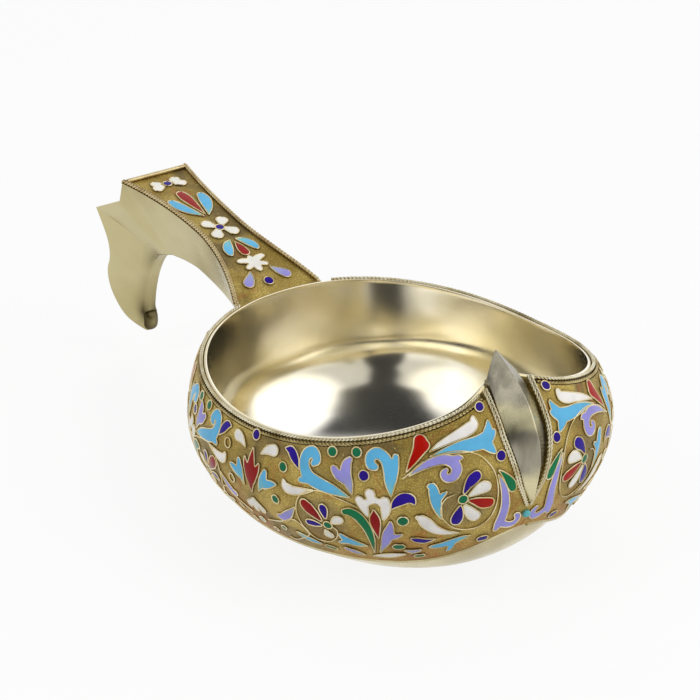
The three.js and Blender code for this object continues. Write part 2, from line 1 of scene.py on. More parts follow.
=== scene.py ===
"""The looks of a small silver-gilt kovsh with cloisonne enamel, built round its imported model."""

import math

import bpy
import numpy as np
from mathutils import Matrix, Vector
from mathutils.geometry import delaunay_2d_cdt
from mathutils.kdtree import KDTree


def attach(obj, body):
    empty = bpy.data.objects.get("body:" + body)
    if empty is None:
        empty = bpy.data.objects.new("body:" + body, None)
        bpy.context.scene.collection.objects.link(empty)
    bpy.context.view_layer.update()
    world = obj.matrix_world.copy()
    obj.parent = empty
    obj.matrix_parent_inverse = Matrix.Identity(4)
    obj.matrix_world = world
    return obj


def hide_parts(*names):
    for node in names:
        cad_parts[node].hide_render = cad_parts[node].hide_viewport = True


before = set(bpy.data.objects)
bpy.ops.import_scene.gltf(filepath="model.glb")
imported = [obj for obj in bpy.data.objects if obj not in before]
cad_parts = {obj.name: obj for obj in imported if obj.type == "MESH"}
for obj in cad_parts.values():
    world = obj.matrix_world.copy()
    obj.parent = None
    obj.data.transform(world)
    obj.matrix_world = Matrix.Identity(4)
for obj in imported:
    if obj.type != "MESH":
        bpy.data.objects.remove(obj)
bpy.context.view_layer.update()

# The bowl. One sheet of silver, raised with a hammer, drawn in at the prow, pressed flat
# underneath and gilded inside and out. It thins towards the rim, which is filed nearly flat.
# Lengths are in millimetres, and new_piece turns them into metres. Angles start at the prow.
MILLIMETRE = 0.001
RIM_HALF_LENGTH = 35.2
RIM_HALF_WIDTH = 33.4
SIDE_RIM_HEIGHT = 29.1
PROW_RIM_RISE = 12.2
HANDLE_RIM_RISE = 3.0
PROW_NIP = 4.6
BELLY_SWELL = (9.4 - PROW_NIP, 2.2, 2.4)
BELLY_HEIGHT = (25, 20, 18)
BASE_REACH = (21, 13.5, 15)
PLAN_POWER = 2.2
PLAN_SKEW = 0.03
UNDERSIDE_POWER = 1.8
SHEER_FADE_ANGLE = 100
SHEER_ROUND_ANGLE = 6
PROW_NIP_ANGLE = 13
WALL = 1.2
RIM_WALL = 0.55
RIM_SLOPE = 0.15
RIM_SLOPE_POWER = 1.7
THINNING_POWER = 8
LIP_SHARES = (0, 0.06, 0.18, 0.35, 0.55, 0.75, 0.9)
LIP_INNER_EDGE = ((0.98, 0.03), (1, 0.12))
BOWL_ROWS = 60
BOWL_COLUMNS = 288
ROWS_CROWDED_LOW = 1.5
SMALL_STEP = 0.01
WORN_BARE_BELOW = (0.019, 0.009)


def from_prow(theta):
    return np.abs(np.degrees(np.arctan2(np.sin(theta), np.cos(theta))))


def plan_radius(theta):
    along = np.abs(np.cos(theta)) / RIM_HALF_LENGTH
    across = np.abs(np.sin(theta)) / (RIM_HALF_WIDTH * (1 + PLAN_SKEW * np.cos(theta)))
    return (along ** PLAN_POWER + across ** PLAN_POWER) ** (-1 / PLAN_POWER)


def rim_height(theta):
    rounded = np.hypot(from_prow(theta), SHEER_ROUND_ANGLE)
    sheer = np.maximum(0, 1 - rounded / SHEER_FADE_ANGLE) ** 2
    behind = np.maximum(0, -np.cos(theta)) ** 2
    return SIDE_RIM_HEIGHT + PROW_RIM_RISE * sheer + HANDLE_RIM_RISE * behind


def round_from_side(theta, sizes):
    front, side, back = sizes
    facing = np.cos(theta) ** 2
    return side + (np.where(np.cos(theta) > 0, front, back) - side) * facing


def bowl_radius(theta, z):
    belly = plan_radius(theta) + round_from_side(theta, BELLY_SWELL)
    belly_height = round_from_side(theta, BELLY_HEIGHT)
    base = round_from_side(theta, BASE_REACH)
    down = np.clip(1 - z / belly_height, 0, 1) ** UNDERSIDE_POWER
    under = base + (belly - base) * (1 - down) ** (1 / UNDERSIDE_POWER)
    up = (z - belly_height) / (rim_height(theta) - belly_height)
    nip = PROW_NIP * np.exp(-((from_prow(theta) / PROW_NIP_ANGLE) ** 2))
    over = belly - (belly - plan_radius(theta) + nip) * up ** 2
    return np.where(z < belly_height, under, over)


def bowl_place(theta, z):
    radius = bowl_radius(theta, z)
    return np.stack([radius * np.cos(theta), radius * np.sin(theta), z + 0 * radius], axis=-1)


def on_bowl(theta, z, out=0.0):
    """Points of the bowl's outer face, moved out along its normal."""
    theta, z, out = np.broadcast_arrays(np.asarray(theta, float), np.asarray(z, float), out)
    turn = SMALL_STEP / RIM_HALF_LENGTH
    round_way = bowl_place(theta + turn, z) - bowl_place(theta - turn, z)
    up_way = bowl_place(theta, z + SMALL_STEP) - bowl_place(theta, z - SMALL_STEP)
    normal = np.cross(round_way, up_way)
    normal /= np.linalg.norm(normal, axis=-1, keepdims=True)
    normal[z <= SMALL_STEP] = (0, 0, -1)
    return bowl_place(theta, z) + out[..., None] * normal


def grid_faces(rows, columns, closed=False, start=0):
    """Four-sided faces between neighbouring rows of points."""
    faces = []
    for row in range(rows - 1):
        for column in range(columns if closed else columns - 1):
            here = start + row * columns + column
            after = start + row * columns + (column + 1) % columns
            faces.append((here, after, after + columns, here + columns))
    return faces


def zipped(first, second):
    """Triangles between two chains of points that run the same way."""
    faces, i, j = [], 0, 0
    while i < len(first) - 1 or j < len(second) - 1:
        if (i + 1) * (len(second) - 1) <= (j + 1) * (len(first) - 1):
            faces.append((first[i], second[j], first[i + 1]))
            i += 1
        else:
            faces.append((first[i], second[j], second[j + 1]))
            j += 1
    return faces


def lofted(rings, fan_start=True, fan_end=True, chain=0):
    """A closed body from closed rings of points. Each end has a fan, or one flat face.

    A start ring that isn't flat is closed between its first chain of points and the rest.
    """
    rings = np.asarray(rings, float)
    rows, columns = rings.shape[:2]
    points = rings.reshape(-1, 3)
    faces = grid_faces(rows, columns, closed=True)
    last = (rows - 1) * columns
    if fan_start:
        points = np.vstack([points, rings[0].mean(axis=0)])
        faces += [(len(points) - 1, (side + 1) % columns, side) for side in range(columns)]
    elif chain:
        faces += zipped(range(chain), range(columns - 1, chain - 1, -1))
    else:
        faces.append(tuple(reversed(range(columns))))
    if fan_end:
        points = np.vstack([points, rings[-1].mean(axis=0)])
        faces += [(len(points) - 1, last + side, last + (side + 1) % columns)
                  for side in range(columns)]
    else:
        faces.append(tuple(range(last, last + columns)))
    return points, faces


def facing_out(points, faces):
    """The same faces, turned round if the closed body they make is inside out."""
    fans = np.array([(face[0], b, c) for face in faces for b, c in zip(face[1:], face[2:])])
    first, second, third = (np.asarray(points)[fans[:, corner]] for corner in range(3))
    volume = np.sum(first * np.cross(second, third))
    return faces if volume > 0 else [tuple(reversed(face)) for face in faces]


def new_piece(name, points, faces, *materials, smooth_angle=40):
    """A mesh object in metres, with smooth shading up to an angle in degrees."""
    mesh = bpy.data.meshes.new(name)
    points = np.asarray(points, float)
    mesh.from_pydata((points * MILLIMETRE).tolist(), [], facing_out(points, faces))
    mesh.validate()
    for material in materials:
        mesh.materials.append(material)
    mesh.shade_smooth()
    mesh.set_sharp_from_angle(angle=math.radians(smooth_angle))
    piece = bpy.data.objects.new(name, mesh)
    bpy.context.scene.collection.objects.link(piece)
    return piece


def seat(piece, slot, *nodes):
    """The piece rides on the kovsh and stands for CAD nodes. Its slot is not used."""
    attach(piece, "root")
    if nodes:
        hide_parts(*nodes)
    return piece


def full_turn(count):
    return np.linspace(0, 2 * np.pi, count, endpoint=False)


def bowl_rings(out, lip_out):
    """Rings of points from the base's edge up to the rim."""
    rings = []
    theta = full_turn(BOWL_COLUMNS)
    for share in np.linspace(0, 1, BOWL_ROWS) ** ROWS_CROWDED_LOW:
        offset = out + (lip_out - out) * share ** THINNING_POWER
        rings.append(on_bowl(theta, rim_height(theta) * share, offset))
    return rings


def rim_ring(out, below):
    theta = full_turn(BOWL_COLUMNS)
    ring = on_bowl(theta, rim_height(theta), out)
    ring[:, 2] = rim_height(theta) - below
    return ring


def colour(text):
    """A colour written as on the web, as linear values."""
    levels = [int(text[i:i + 2], 16) / 255 for i in (1, 3, 5)]
    linear = [v / 12.92 if v <= 0.04045 else ((v + 0.055) / 1.055) ** 2.4 for v in levels]
    return (*linear, 1.0)


def put(tree, kind, sockets=None, **settings):
    """Adds a node. Its settings are properties, and its sockets take values or links."""
    made = tree.nodes.new(kind)
    for key, value in settings.items():
        setattr(made, key, value)
    for key, value in (sockets or {}).items():
        if isinstance(value, bpy.types.NodeSocket):
            tree.links.new(value, made.inputs[key])
        else:
            made.inputs[key].default_value = value
    return made


def reckon(tree, operation, *values):
    return put(tree, "ShaderNodeMath", dict(enumerate(values)), operation=operation).outputs[0]


def plus(tree, first, second):
    return reckon(tree, "ADD", first, second)


def minus(tree, first, second):
    return reckon(tree, "SUBTRACT", first, second)


def times(tree, first, second):
    return reckon(tree, "MULTIPLY", first, second)


def eased(tree, value, low, high, to_low=0.0, to_high=1.0):
    """A value taken from one range to another, smoothly and within its ends."""
    sockets = {"Value": value, "From Min": low, "From Max": high,
               "To Min": to_low, "To Max": to_high}
    return put(tree, "ShaderNodeMapRange", sockets, interpolation_type="SMOOTHSTEP").outputs[0]


def mixed(tree, factor, first, second, blend="MIX"):
    made = put(tree, "ShaderNodeMix", {0: factor, 6: first, 7: second},
               data_type="RGBA", blend_type=blend)
    return made.outputs[2]


def object_place(tree):
    return put(tree, "ShaderNodeTexCoord").outputs["Object"]


def height_up(tree):
    """How high the spot is over the table, in metres."""
    return put(tree, "ShaderNodeSeparateXYZ", {0: object_place(tree)}).outputs[2]


def painted(tree, name):
    """A value that paint has kept on the piece's points."""
    return put(tree, "ShaderNodeAttribute", attribute_name=name).outputs["Fac"]


def noise(tree, scale, detail=3.0, stretch=(1, 1, 1), turn=(0, 0, 0), distortion=0.0):
    place = put(tree, "ShaderNodeMapping",
                {"Vector": object_place(tree), "Scale": stretch, "Rotation": turn}).outputs[0]
    sockets = {"Vector": place, "Scale": scale, "Detail": detail, "Distortion": distortion}
    return put(tree, "ShaderNodeTexNoise", sockets).outputs["Fac"]


def new_group(name, inputs, outputs):
    group = bpy.data.node_groups.new(name, "ShaderNodeTree")
    for label, kind, value in inputs:
        socket = group.interface.new_socket(label, in_out="INPUT", socket_type=kind)
        socket.default_value = value
    for label, kind in outputs:
        group.interface.new_socket(label, in_out="OUTPUT", socket_type=kind)
    return group, group.nodes.new("NodeGroupInput"), group.nodes.new("NodeGroupOutput")


def hand_marks_group():
    """Smudges, tarnish and hairline scratches of handled silver-gilt."""
    group, given, result = new_group(
        "hand_marks",
        [("Smudge Scale", "NodeSocketFloat", 90.0), ("Tarnish", "NodeSocketFloat", 0.3)],
        [("Smudge", "NodeSocketFloat"), ("Tarnish", "NodeSocketFloat"),
         ("Scratches", "NodeSocketFloat")])
    cloud = noise(group, 90.0, 4.0)
    group.links.new(given.outputs["Smudge Scale"], cloud.node.inputs["Scale"])
    broad = noise(group, 45.0, 5.0, distortion=0.6)
    smudge = eased(group, cloud, 0.35, 0.7)
    dark = times(group, eased(group, broad, 0.5, 0.75), given.outputs["Tarnish"])
    lines = []
    for turn in ((0.3, 0.2, 0.5), (1.1, 0.7, 2.1), (2.0, 1.9, 0.9)):
        hair = noise(group, 120.0, 1.0, (1, 40, 40), turn)
        away = reckon(group, "ABSOLUTE", minus(group, hair, 0.5))
        lines.append(eased(group, away, 0.0, 0.008, 1.0, 0.0))
    scratches = reckon(group, "MAXIMUM", reckon(group, "MAXIMUM", lines[0], lines[1]), lines[2])
    scratches = times(group, scratches, eased(group, noise(group, 70.0, 2.0), 0.5, 0.62))
    group.links.new(smudge, result.inputs["Smudge"])
    group.links.new(dark, result.inputs["Tarnish"])
    group.links.new(scratches, result.inputs["Scratches"])
    return group


hand_marks = hand_marks_group()


def bare_material(name, **constants):
    """A material whose shader has its unchanging values set on its own sockets."""
    material = bpy.data.materials.new(name)
    material.use_nodes = True
    tree = material.node_tree
    shader = tree.nodes["Principled BSDF"]
    for key, value in constants.items():
        shader.inputs[key.replace("_", " ")].default_value = value
    return material, tree, shader


def relief(tree, shader, height, depth, strength=1.0):
    bump = put(tree, "ShaderNodeBump",
               {"Height": height, "Distance": depth * MILLIMETRE, "Strength": strength})
    tree.links.new(bump.outputs[0], shader.inputs["Normal"])


def metal(name, fresh, worn, dark, rough, rough_worn, scratch_depth=0.006, tarnish=0.5,
          smudge_scale=90.0, nook=None, bare=None, waves=0.0):
    """Metal in three tones, with the marks of hands, and worn bare low down, or dark in a nook with tarnish
    and painted shade.
    """
    material, tree, shader = bare_material(name, Metallic=1.0)
    marks = put(tree, "ShaderNodeGroup", node_tree=hand_marks)
    marks.inputs["Smudge Scale"].default_value = smudge_scale
    marks.inputs["Tarnish"].default_value = tarnish
    tone = mixed(tree, marks.outputs["Smudge"], colour(fresh), colour(worn))
    tone = mixed(tree, marks.outputs["Tarnish"], tone, colour(dark))
    if bare:
        height = plus(tree, height_up(tree), times(tree, noise(tree, 40.0, 3.0), 0.012))
        tone = mixed(tree, eased(tree, height, *WORN_BARE_BELOW), tone, colour(bare))
    if nook:
        tone = mixed(tree, painted(tree, "nook"), tone, colour(nook))
    tree.links.new(tone, shader.inputs["Base Color"])
    shine = eased(tree, marks.outputs["Smudge"], 0.0, 1.0, rough, rough_worn)
    tree.links.new(shine, shader.inputs["Roughness"])
    height = times(tree, marks.outputs["Scratches"], -scratch_depth)
    if waves:
        height = plus(tree, height, times(tree, noise(tree, 75.0, 1.0), waves))
    relief(tree, shader, height, 1.0)
    return material


bowl_polish = metal("gilt_bowl_inside", "#f5eeda", "#eae0bd", "#bfb38a", 0.13, 0.2, scratch_depth=0.0005,
                    tarnish=0.2, smudge_scale=60.0, bare="#ebe8e0", waves=0.08)
bowl_outside = metal("gilt_bowl_outside", "#d8cda6", "#c8bb8c", "#8c7d52", 0.16, 0.28)

outer_rings = bowl_rings(0.0, 0.0)
inner_rings = bowl_rings(-WALL, -RIM_WALL)
lip = [rim_ring(-RIM_WALL * share, RIM_SLOPE * (1 - share) ** RIM_SLOPE_POWER) for share in LIP_SHARES]
lip += [rim_ring(-RIM_WALL * share, below) for share, below in LIP_INNER_EDGE]
all_rings = outer_rings[:-1] + lip + inner_rings[-2::-1]
bowl = new_piece("bowl", *lofted(all_rings), bowl_polish, bowl_outside, smooth_angle=60)
outer_count = (BOWL_ROWS - 1) * BOWL_COLUMNS
for face in bowl.data.polygons:
    face.material_index = int(min(face.vertices) < outer_count)
seat(bowl, "gilt_silver", "bowl_shell")

# The enamelled band. Its pattern is drawn on the metal before any wire is laid, and turns back
# on itself behind a tulip. Each row is a name, an enamel, and the blades that make up a cell:
# points as degrees from the prow, height, and half width there. One point alone is a dot.
BAND_OUT = 0.8
BAND_LOWER_HEIGHT = 8.4
BAND_PROW_LIFT = 5.0
BAND_LIFT_ANGLE = 18
RIM_ROPE_RADIUS = 0.36
TRIM_GAP = 0.15
TULIP_ANGLE = 79


def band_lower(theta):
    return BAND_LOWER_HEIGHT + BAND_PROW_LIFT * np.exp(-((from_prow(theta) / BAND_LIFT_ANGLE) ** 2))


def band_upper(theta):
    return rim_height(theta) - 4 * RIM_ROPE_RADIUS - 3 * TRIM_GAP


FRONT_CELLS = [
    ("dot", "cobalt", [(12, 36.6, .9)]),
    ("dot", "cobalt", [(8.8, 29.1, .95)]),
    ("leaf_white_fore", "white",
     [(27.4, 31.1, 0), (24, 32.3, .5), (20, 33.3, .8), (17, 33.9, 1), (15, 34.5, .9),
      (14.8, 35.3, .45)]),
    ("leaf_turquoise_fore", "turquoise",
     [(27.3, 30.4, 0), (23, 31.2, .55), (19, 31.6, 1), (15, 31.7, 1.2), (12.2, 32, 1.3)],
     [(11.6, 32.6, 1), (10.8, 33.8, .6), (10.7, 34.7, .1)],
     [(12, 32.1, .9), (10.6, 32.4, .75), (9.6, 32.9, .4)],
     [(12.2, 31.2, 1), (11.1, 30.4, .7), (10.4, 29.9, .35)]),
    ("leaf_lavender", "lavender",
     [(32.6, 27.3, 0), (30.3, 28.5, .45), (27.4, 29.4, .65), (24, 29.9, .8), (21.7, 29.4, .9),
      (20.7, 28.3, .9), (21.5, 27.1, .8), (23.2, 26.8, .7), (24.1, 27.6, .55), (23.4, 28.2, .4)],
     [(21.8, 29.7, .7), (20.1, 30, .5), (19, 29.9, .15)]),
    ("leaf_red_fore", "red",
     [(33.2, 27.9, 0), (31.7, 29.5, .55), (30.3, 30.9, .9), (29.4, 31.9, 1.2), (29.3, 32.7, 1.15)],
     [(29, 32.4, .9), (27.8, 32.2, .6), (27.9, 31.5, .25)]),
    ("rosette_fore", "green", [(19.2, 22.7, .9)]),
    ("rosette_fore", "cobalt", [(18.9, 24, .3), (17.9, 25.3, .75), (16.9, 26.1, 1.05), (15.9, 26.6, 1)]),
    ("rosette_fore", "white", [(17.5, 23.3, .3), (16, 23.9, .8), (14.5, 24.4, 1.1), (13.4, 24.4, 1)]),
    ("rosette_fore", "red", [(17.6, 22.3, .25), (15.8, 21.9, .7), (13.8, 21.3, 1.05), (12.2, 21.1, 1)]),
    ("rosette_fore", "white", [(18.6, 21.4, .3), (17.7, 20.4, .8), (16.5, 19.3, 1.05), (15.6, 18.8, 1)]),
    ("rosette_fore", "cobalt", [(19.8, 21.3, .3), (20.1, 20.1, .85), (20.4, 19, 1.1), (20.5, 18.5, 1.05)]),
    ("leaf_long", "lavender",
     [(10.2, 26.3, 0), (9.2, 24.9, .35), (8.3, 23.3, .6), (7.7, 21.4, .75), (7.4, 19.6, .85),
      (7.6, 17.7, .95), (8.1, 15.9, 1), (8.8, 14.6, .5)],
     [(7, 15.5, .7), (5, 14.9, .65), (3.5, 14.9, .65), (2.5, 15.5, .6), (2.6, 16.4, .6), (3.4, 16.9, .4)]),
    ("drop", "green", [(10.1, 27, 0), (8.7, 26.1, .35), (7.3, 24.9, .7), (6.3, 23.8, .9), (5.7, 22.9, .75)]),
    ("dot", "cobalt", [(12.7, 13, .65), (11.3, 13, .65)]),
    ("leaf_mid", "turquoise",
     [(24.2, 18.9, 0), (25.3, 21, .6), (26, 22.9, .9), (26.5, 24.6, .85), (27, 25.6, .65), (27.8, 25.6, .3)],
     [(25.4, 23.1, .5), (24.1, 24.1, .35), (23.2, 24.5, .1)]),
    ("leaf_low", "white",
     [(19, 15.5, 0), (22.6, 15.9, .5), (25.8, 16.9, .9), (28, 18.4, 1.05), (29.4, 19.5, .75),
      (30.5, 19.8, .3)]),
    ("comma", "cobalt",
     [(36.9, 21.3, 0), (35.6, 22.6, .8), (33.7, 23.5, 1.05), (32, 23.4, .8), (31.2, 22.6, .3)]),
    ("leaf_curled", "turquoise",
     [(36.8, 23.6, 0), (37, 26, .85), (37.2, 28, 1), (38.2, 29.8, .95), (40.2, 30.6, .9),
      (42, 30, .85), (42, 28.8, .8), (40.8, 28.5, .6)],
     [(36.8, 26.5, .9), (36, 28.6, .75), (35.6, 30.3, .5)]),
    ("dot", "green", [(33.9, 19, 1)]),
    ("dot", "green", [(35.4, 12.9, .7), (34.1, 12.9, .7)]),
    ("dot", "green", [(52.5, 29.7, .9)]),
    ("dot", "green", [(45.8, 30.3, .9)]),
    ("dot", "cobalt", [(43.6, 26.9, .95)]),
    ("leaf_split", "lavender",
     [(46.4, 23.3, 0), (47.3, 25, .7), (48.3, 26.7, .95), (48.2, 28.2, .85), (47.4, 29.1, .45)],
     [(48, 25.6, .7), (50.2, 26.3, .8), (51.6, 27.2, .6)]),
    ("trefoil_white", "white",
     [(42.6, 19.8, .3), (43.6, 21.6, .8), (44.7, 22.7, .75)],
     [(38.6, 19.3, .25), (38.1, 21.2, .85), (38.3, 22.9, .8)],
     [(43.6, 21.9, .6), (41.1, 22.9, .6), (38.3, 22.3, .6)], [(41.4, 22.8, .6), (42, 24, .9)]),
    ("diamond", "dark_red", [(41.1, 21.3, 0), (40.8, 18.8, .95), (39.9, 14.6, 0)]),
    ("leaf_forked", "lavender",
     [(39.8, 11, 0), (38.3, 13.8, .75), (37.5, 16.1, .95), (37, 18, .5), (37, 19, .1)],
     [(37.9, 15.4, .8), (35.6, 15.5, .6), (34, 16, .15)]),
    ("leaf_stem", "green",
     [(41.3, 10.8, 0), (41.7, 14.1, .5), (42.8, 17, .75), (44.8, 19.2, .9), (46.9, 20.1, .85),
      (48.5, 20, .6)]),
    ("leaf_thin", "cobalt", [(25, 14.6, 0), (28, 14.3, .55), (30.3, 14.6, .6), (31.4, 14.9, .3)]),
    ("leaf_turquoise_low", "turquoise",
     [(15.6, 14.4, 0), (18.3, 14.1, .5), (20.5, 13.5, .75), (22.8, 13, .7), (25.4, 12.7, .5),
      (26.7, 12.6, .15)],
     [(20.6, 13, .6), (20.9, 11.8, .5), (21.4, 11.1, .2)]),
    ("leaf_foot", "white", [(41.9, 9.9, .1), (39, 10.2, .6), (35.8, 10.5, .65), (32.9, 10.8, .2)]),
    ("leaf_foot", "lavender", [(33.4, 12, .1), (31, 11.6, .5), (29, 11.9, .3)]),
    ("dot", "green", [(29.8, 10.3, .45), (28, 10.4, .45)]),
    ("leaf_under", "turquoise",
     [(42.8, 12.6, 0), (46, 13, .7), (48.6, 13.6, .8), (50.2, 14.6, .4)],
     [(48.6, 13.2, .6), (50.8, 12.7, .3)]),
    ("rosette_mid", "green", [(53.5, 16.4, .85)]),
    ("rosette_mid", "dark_red", [(55.3, 17.2, .3), (56.8, 18.2, .8), (58.6, 19.2, 1.1), (59.7, 19.8, .95)]),
    ("rosette_mid", "cobalt", [(53.9, 18, .3), (54.2, 19.2, .75), (54.4, 19.9, .8)]),
    ("rosette_mid", "cobalt", [(55.5, 16.1, .3), (57.3, 16.1, .65), (59, 16.1, .7)]),
    ("rosette_mid", "white", [(52.2, 17.2, .3), (50.9, 17.8, .85), (50.1, 18.1, .8)]),
    ("rosette_mid", "white", [(54.3, 15, .3), (53.9, 14.3, .75), (53.3, 14, .7)]),
    ("scroll_turquoise", "turquoise",
     [(46.8, 22.8, 0), (51, 23.6, .85), (55.5, 24.2, 1.15), (58.8, 25, 1.15), (60.3, 26.8, 1),
      (59.8, 28.4, .95), (57.8, 28.9, .9), (56.6, 27.9, .75), (57.6, 27.2, .5)],
     [(58.5, 24.4, .8), (61, 23.9, .5)]),
    ("comma", "cobalt", [(61.6, 25.5, 0), (63.2, 26.9, .75), (65, 28, .8), (67, 28.1, .15)]),
    ("leaf_aft", "white",
     [(56.7, 22.8, 0), (60, 22.1, .5), (63.3, 21.6, .8), (65.6, 21.8, .8), (66.4, 22.8, .3)]),
    ("dot_aft", "green", [(67, 25, .9)]),
    ("leaf_pair", "turquoise",
     [(76, 18.5, 0), (74.2, 20.9, .85), (73.3, 22.8, .5)],
     [(73.6, 20.4, .75), (71, 21.1, .65), (69, 21.5, .15)]),
    ("drop_aft", "green", [(69.5, 18.6, .85)]),
    ("drop", "white", [(75.8, 25.4, 0), (73.2, 26.6, .75), (71, 27, 1)]),
    ("leaf_low_back", "lavender", [(62.8, 18.6, 0), (65.4, 16.5, .75), (67.8, 15.1, .85), (69.6, 15.2, .4)]),
    ("leaf_foot", "turquoise", [(64.6, 12.4, .2), (61.8, 11.6, .65), (58.8, 11.2, .55), (57, 11, .2)]),
    ("dot", "green", [(69.3, 12.3, .6)]),
    ("dot", "green", [(55.4, 10.7, .45), (52.8, 10.5, .45)]),
    ("dot", "cobalt", [(74, 10.6, .6)]),
    ("leaf_foot", "lavender", [(43.9, 9.9, .1), (47, 10.6, .55), (49.6, 11.2, .3)]),
]
MIDDLE_CELLS = [
    ("dot", "cobalt", [(79, 28, .95)]),
    ("tulip_red", "dark_red",
     [(79, 17.6, 0), (79, 20.3, 1), (79, 22.2, 1.1), (79, 24.2, .65), (79, 25.9, .1)],
     [(79.6, 20.3, .85), (81.3, 22.3, .6), (82.2, 23.8, .1)],
     [(78.4, 20.3, .85), (76.7, 22.3, .6), (75.8, 23.8, .1)]),
    ("bud_foot", "white",
     [(79, 16.2, .4), (79, 14.3, .75)], [(79.5, 16, .4), (81.8, 14.6, .75)],
     [(78.5, 16, .4), (76.2, 14.6, .75)]),
    ("dot", "turquoise", [(79, 11.6, .75)]),
]
# The bare wire scrolls round the flowers.
FRONT_SCROLLS = [
    [(34, 26.9), (28, 29.9), (22.5, 31), (18, 30.8), (14.3, 29.7), (11.6, 27.6), (10.3, 25),
     (9.9, 22), (10.4, 19.3), (12.2, 17.1), (15.8, 16), (20.6, 16.7), (24, 19.2), (24.7, 21.3),
     (23.7, 23.1), (21.4, 23.9)],
    [(45.2, 21.3), (47.5, 21.9), (50, 22.3), (54.4, 22.9), (58.6, 22.4), (61.6, 20.6),
     (62.6, 17.6), (61, 14.2), (57.8, 12.3), (54.2, 12.2), (51.6, 13.6), (51, 15.4), (52.4, 16.3)],
    [(69, 9.9), (66, 10), (60, 13), (64, 15.5), (69.5, 13.8), (75.5, 12.6)],
]


def turned_back(theta, z):
    """The same place in the pattern behind the tulip, at the same share of the band's height."""
    here, there = np.radians(theta), np.radians(2 * TULIP_ANGLE - theta)
    share = (z - band_lower(here)) / (band_upper(here) - band_lower(here))
    return 2 * TULIP_ANGLE - theta, band_lower(there) + share * (band_upper(there) - band_lower(there))


def turned_cell(cell):
    blades = [[(*turned_back(theta, z), half) for theta, z, half in blade] for blade in cell[2:]]
    return (cell[0] + "_behind", cell[1], *blades)


BAND_CELLS = FRONT_CELLS + MIDDLE_CELLS + [turned_cell(cell) for cell in FRONT_CELLS]
# Two rings of wire that hold no enamel.
EMPTY_CELLS = {"dot_aft_behind", "drop_aft_behind"}
BAND_SCROLLS = FRONT_SCROLLS + [[turned_back(*place) for place in scroll] for scroll in FRONT_SCROLLS]


# The drawing is laid on the metal, port and starboard alike. Every cell is one flat outline,
# the union of its blades, and its edge is where a wire will stand.
POINT_HALF = 0.03
ROUND_END_FROM = 0.15
OUTLINE_STEP = 0.16
FILL_SPACING = 0.3
FILL_MARGIN = 0.13
LEAST_HOLE = 0.12
DOME_STEEPNESS = 0.3
DOME_MOST = 0.16
DOME_ROUNDS = 60
DOT_SIDES = 18
ROUND_END_POINTS = 8
LEAST_OUTLINE_POINTS = 14
JOINED_WITHIN = 1e-4
FILL_JOINED_WITHIN = 1e-5
TRIANGLE_ROW = 0.87


def smooth_line(points, steps=6):
    points = np.asarray(points, float)
    if len(points) < 2:
        return points
    ends = np.vstack([2 * points[0] - points[1], points, 2 * points[-1] - points[-2]])
    share = np.linspace(0, 1, steps, endpoint=False)[:, None]
    line = []
    for first, second, third, fourth in zip(ends, ends[1:], ends[2:], ends[3:]):
        line.append(0.5 * (2 * second + (third - first) * share
                           + (2 * first - 5 * second + 4 * third - fourth) * share ** 2
                           + (3 * second - first - 3 * third + fourth) * share ** 3))
    return np.vstack(line + [points[-1:]])


def doubled_area(outline):
    """Twice the area in a closed outline, and more than 0 if it runs anticlockwise."""
    ahead = np.roll(outline, -1, axis=0)
    return np.sum(outline[:, 0] * ahead[:, 1] - outline[:, 1] * ahead[:, 0])


def blade_shapes(line):
    """Convex shapes, each anticlockwise, that together cover a blade."""
    places, halves = line[:, :2], np.maximum(line[:, 2], POINT_HALF)
    if len(line) == 1:
        turn = full_turn(DOT_SIDES)
        return [places[0] + halves[0] * np.stack([np.cos(turn), np.sin(turn)], axis=-1)]
    along = np.gradient(places, axis=0)
    along /= np.linalg.norm(along, axis=1, keepdims=True)
    across = np.stack([-along[:, 1], along[:, 0]], axis=-1)
    left, right = places + across * halves[:, None], places - across * halves[:, None]
    shapes = []
    for i in range(len(line) - 1):
        shapes += [[left[i], right[i], right[i + 1]], [left[i], right[i + 1], left[i + 1]]]
    for end, way in ((0, -1), (len(line) - 1, 1)):
        if halves[end] >= ROUND_END_FROM:
            turn = np.linspace(-np.pi / 2, np.pi / 2, ROUND_END_POINTS)[:, None]
            reach = np.cos(turn) * along[end] * way + np.sin(turn) * across[end]
            shapes.append(places[end] + halves[end] * reach)
    turned = []
    for shape in map(np.array, shapes):
        area = doubled_area(shape)
        if abs(area) > JOINED_WITHIN:
            turned.append(shape if area > 0 else shape[::-1])
    return turned


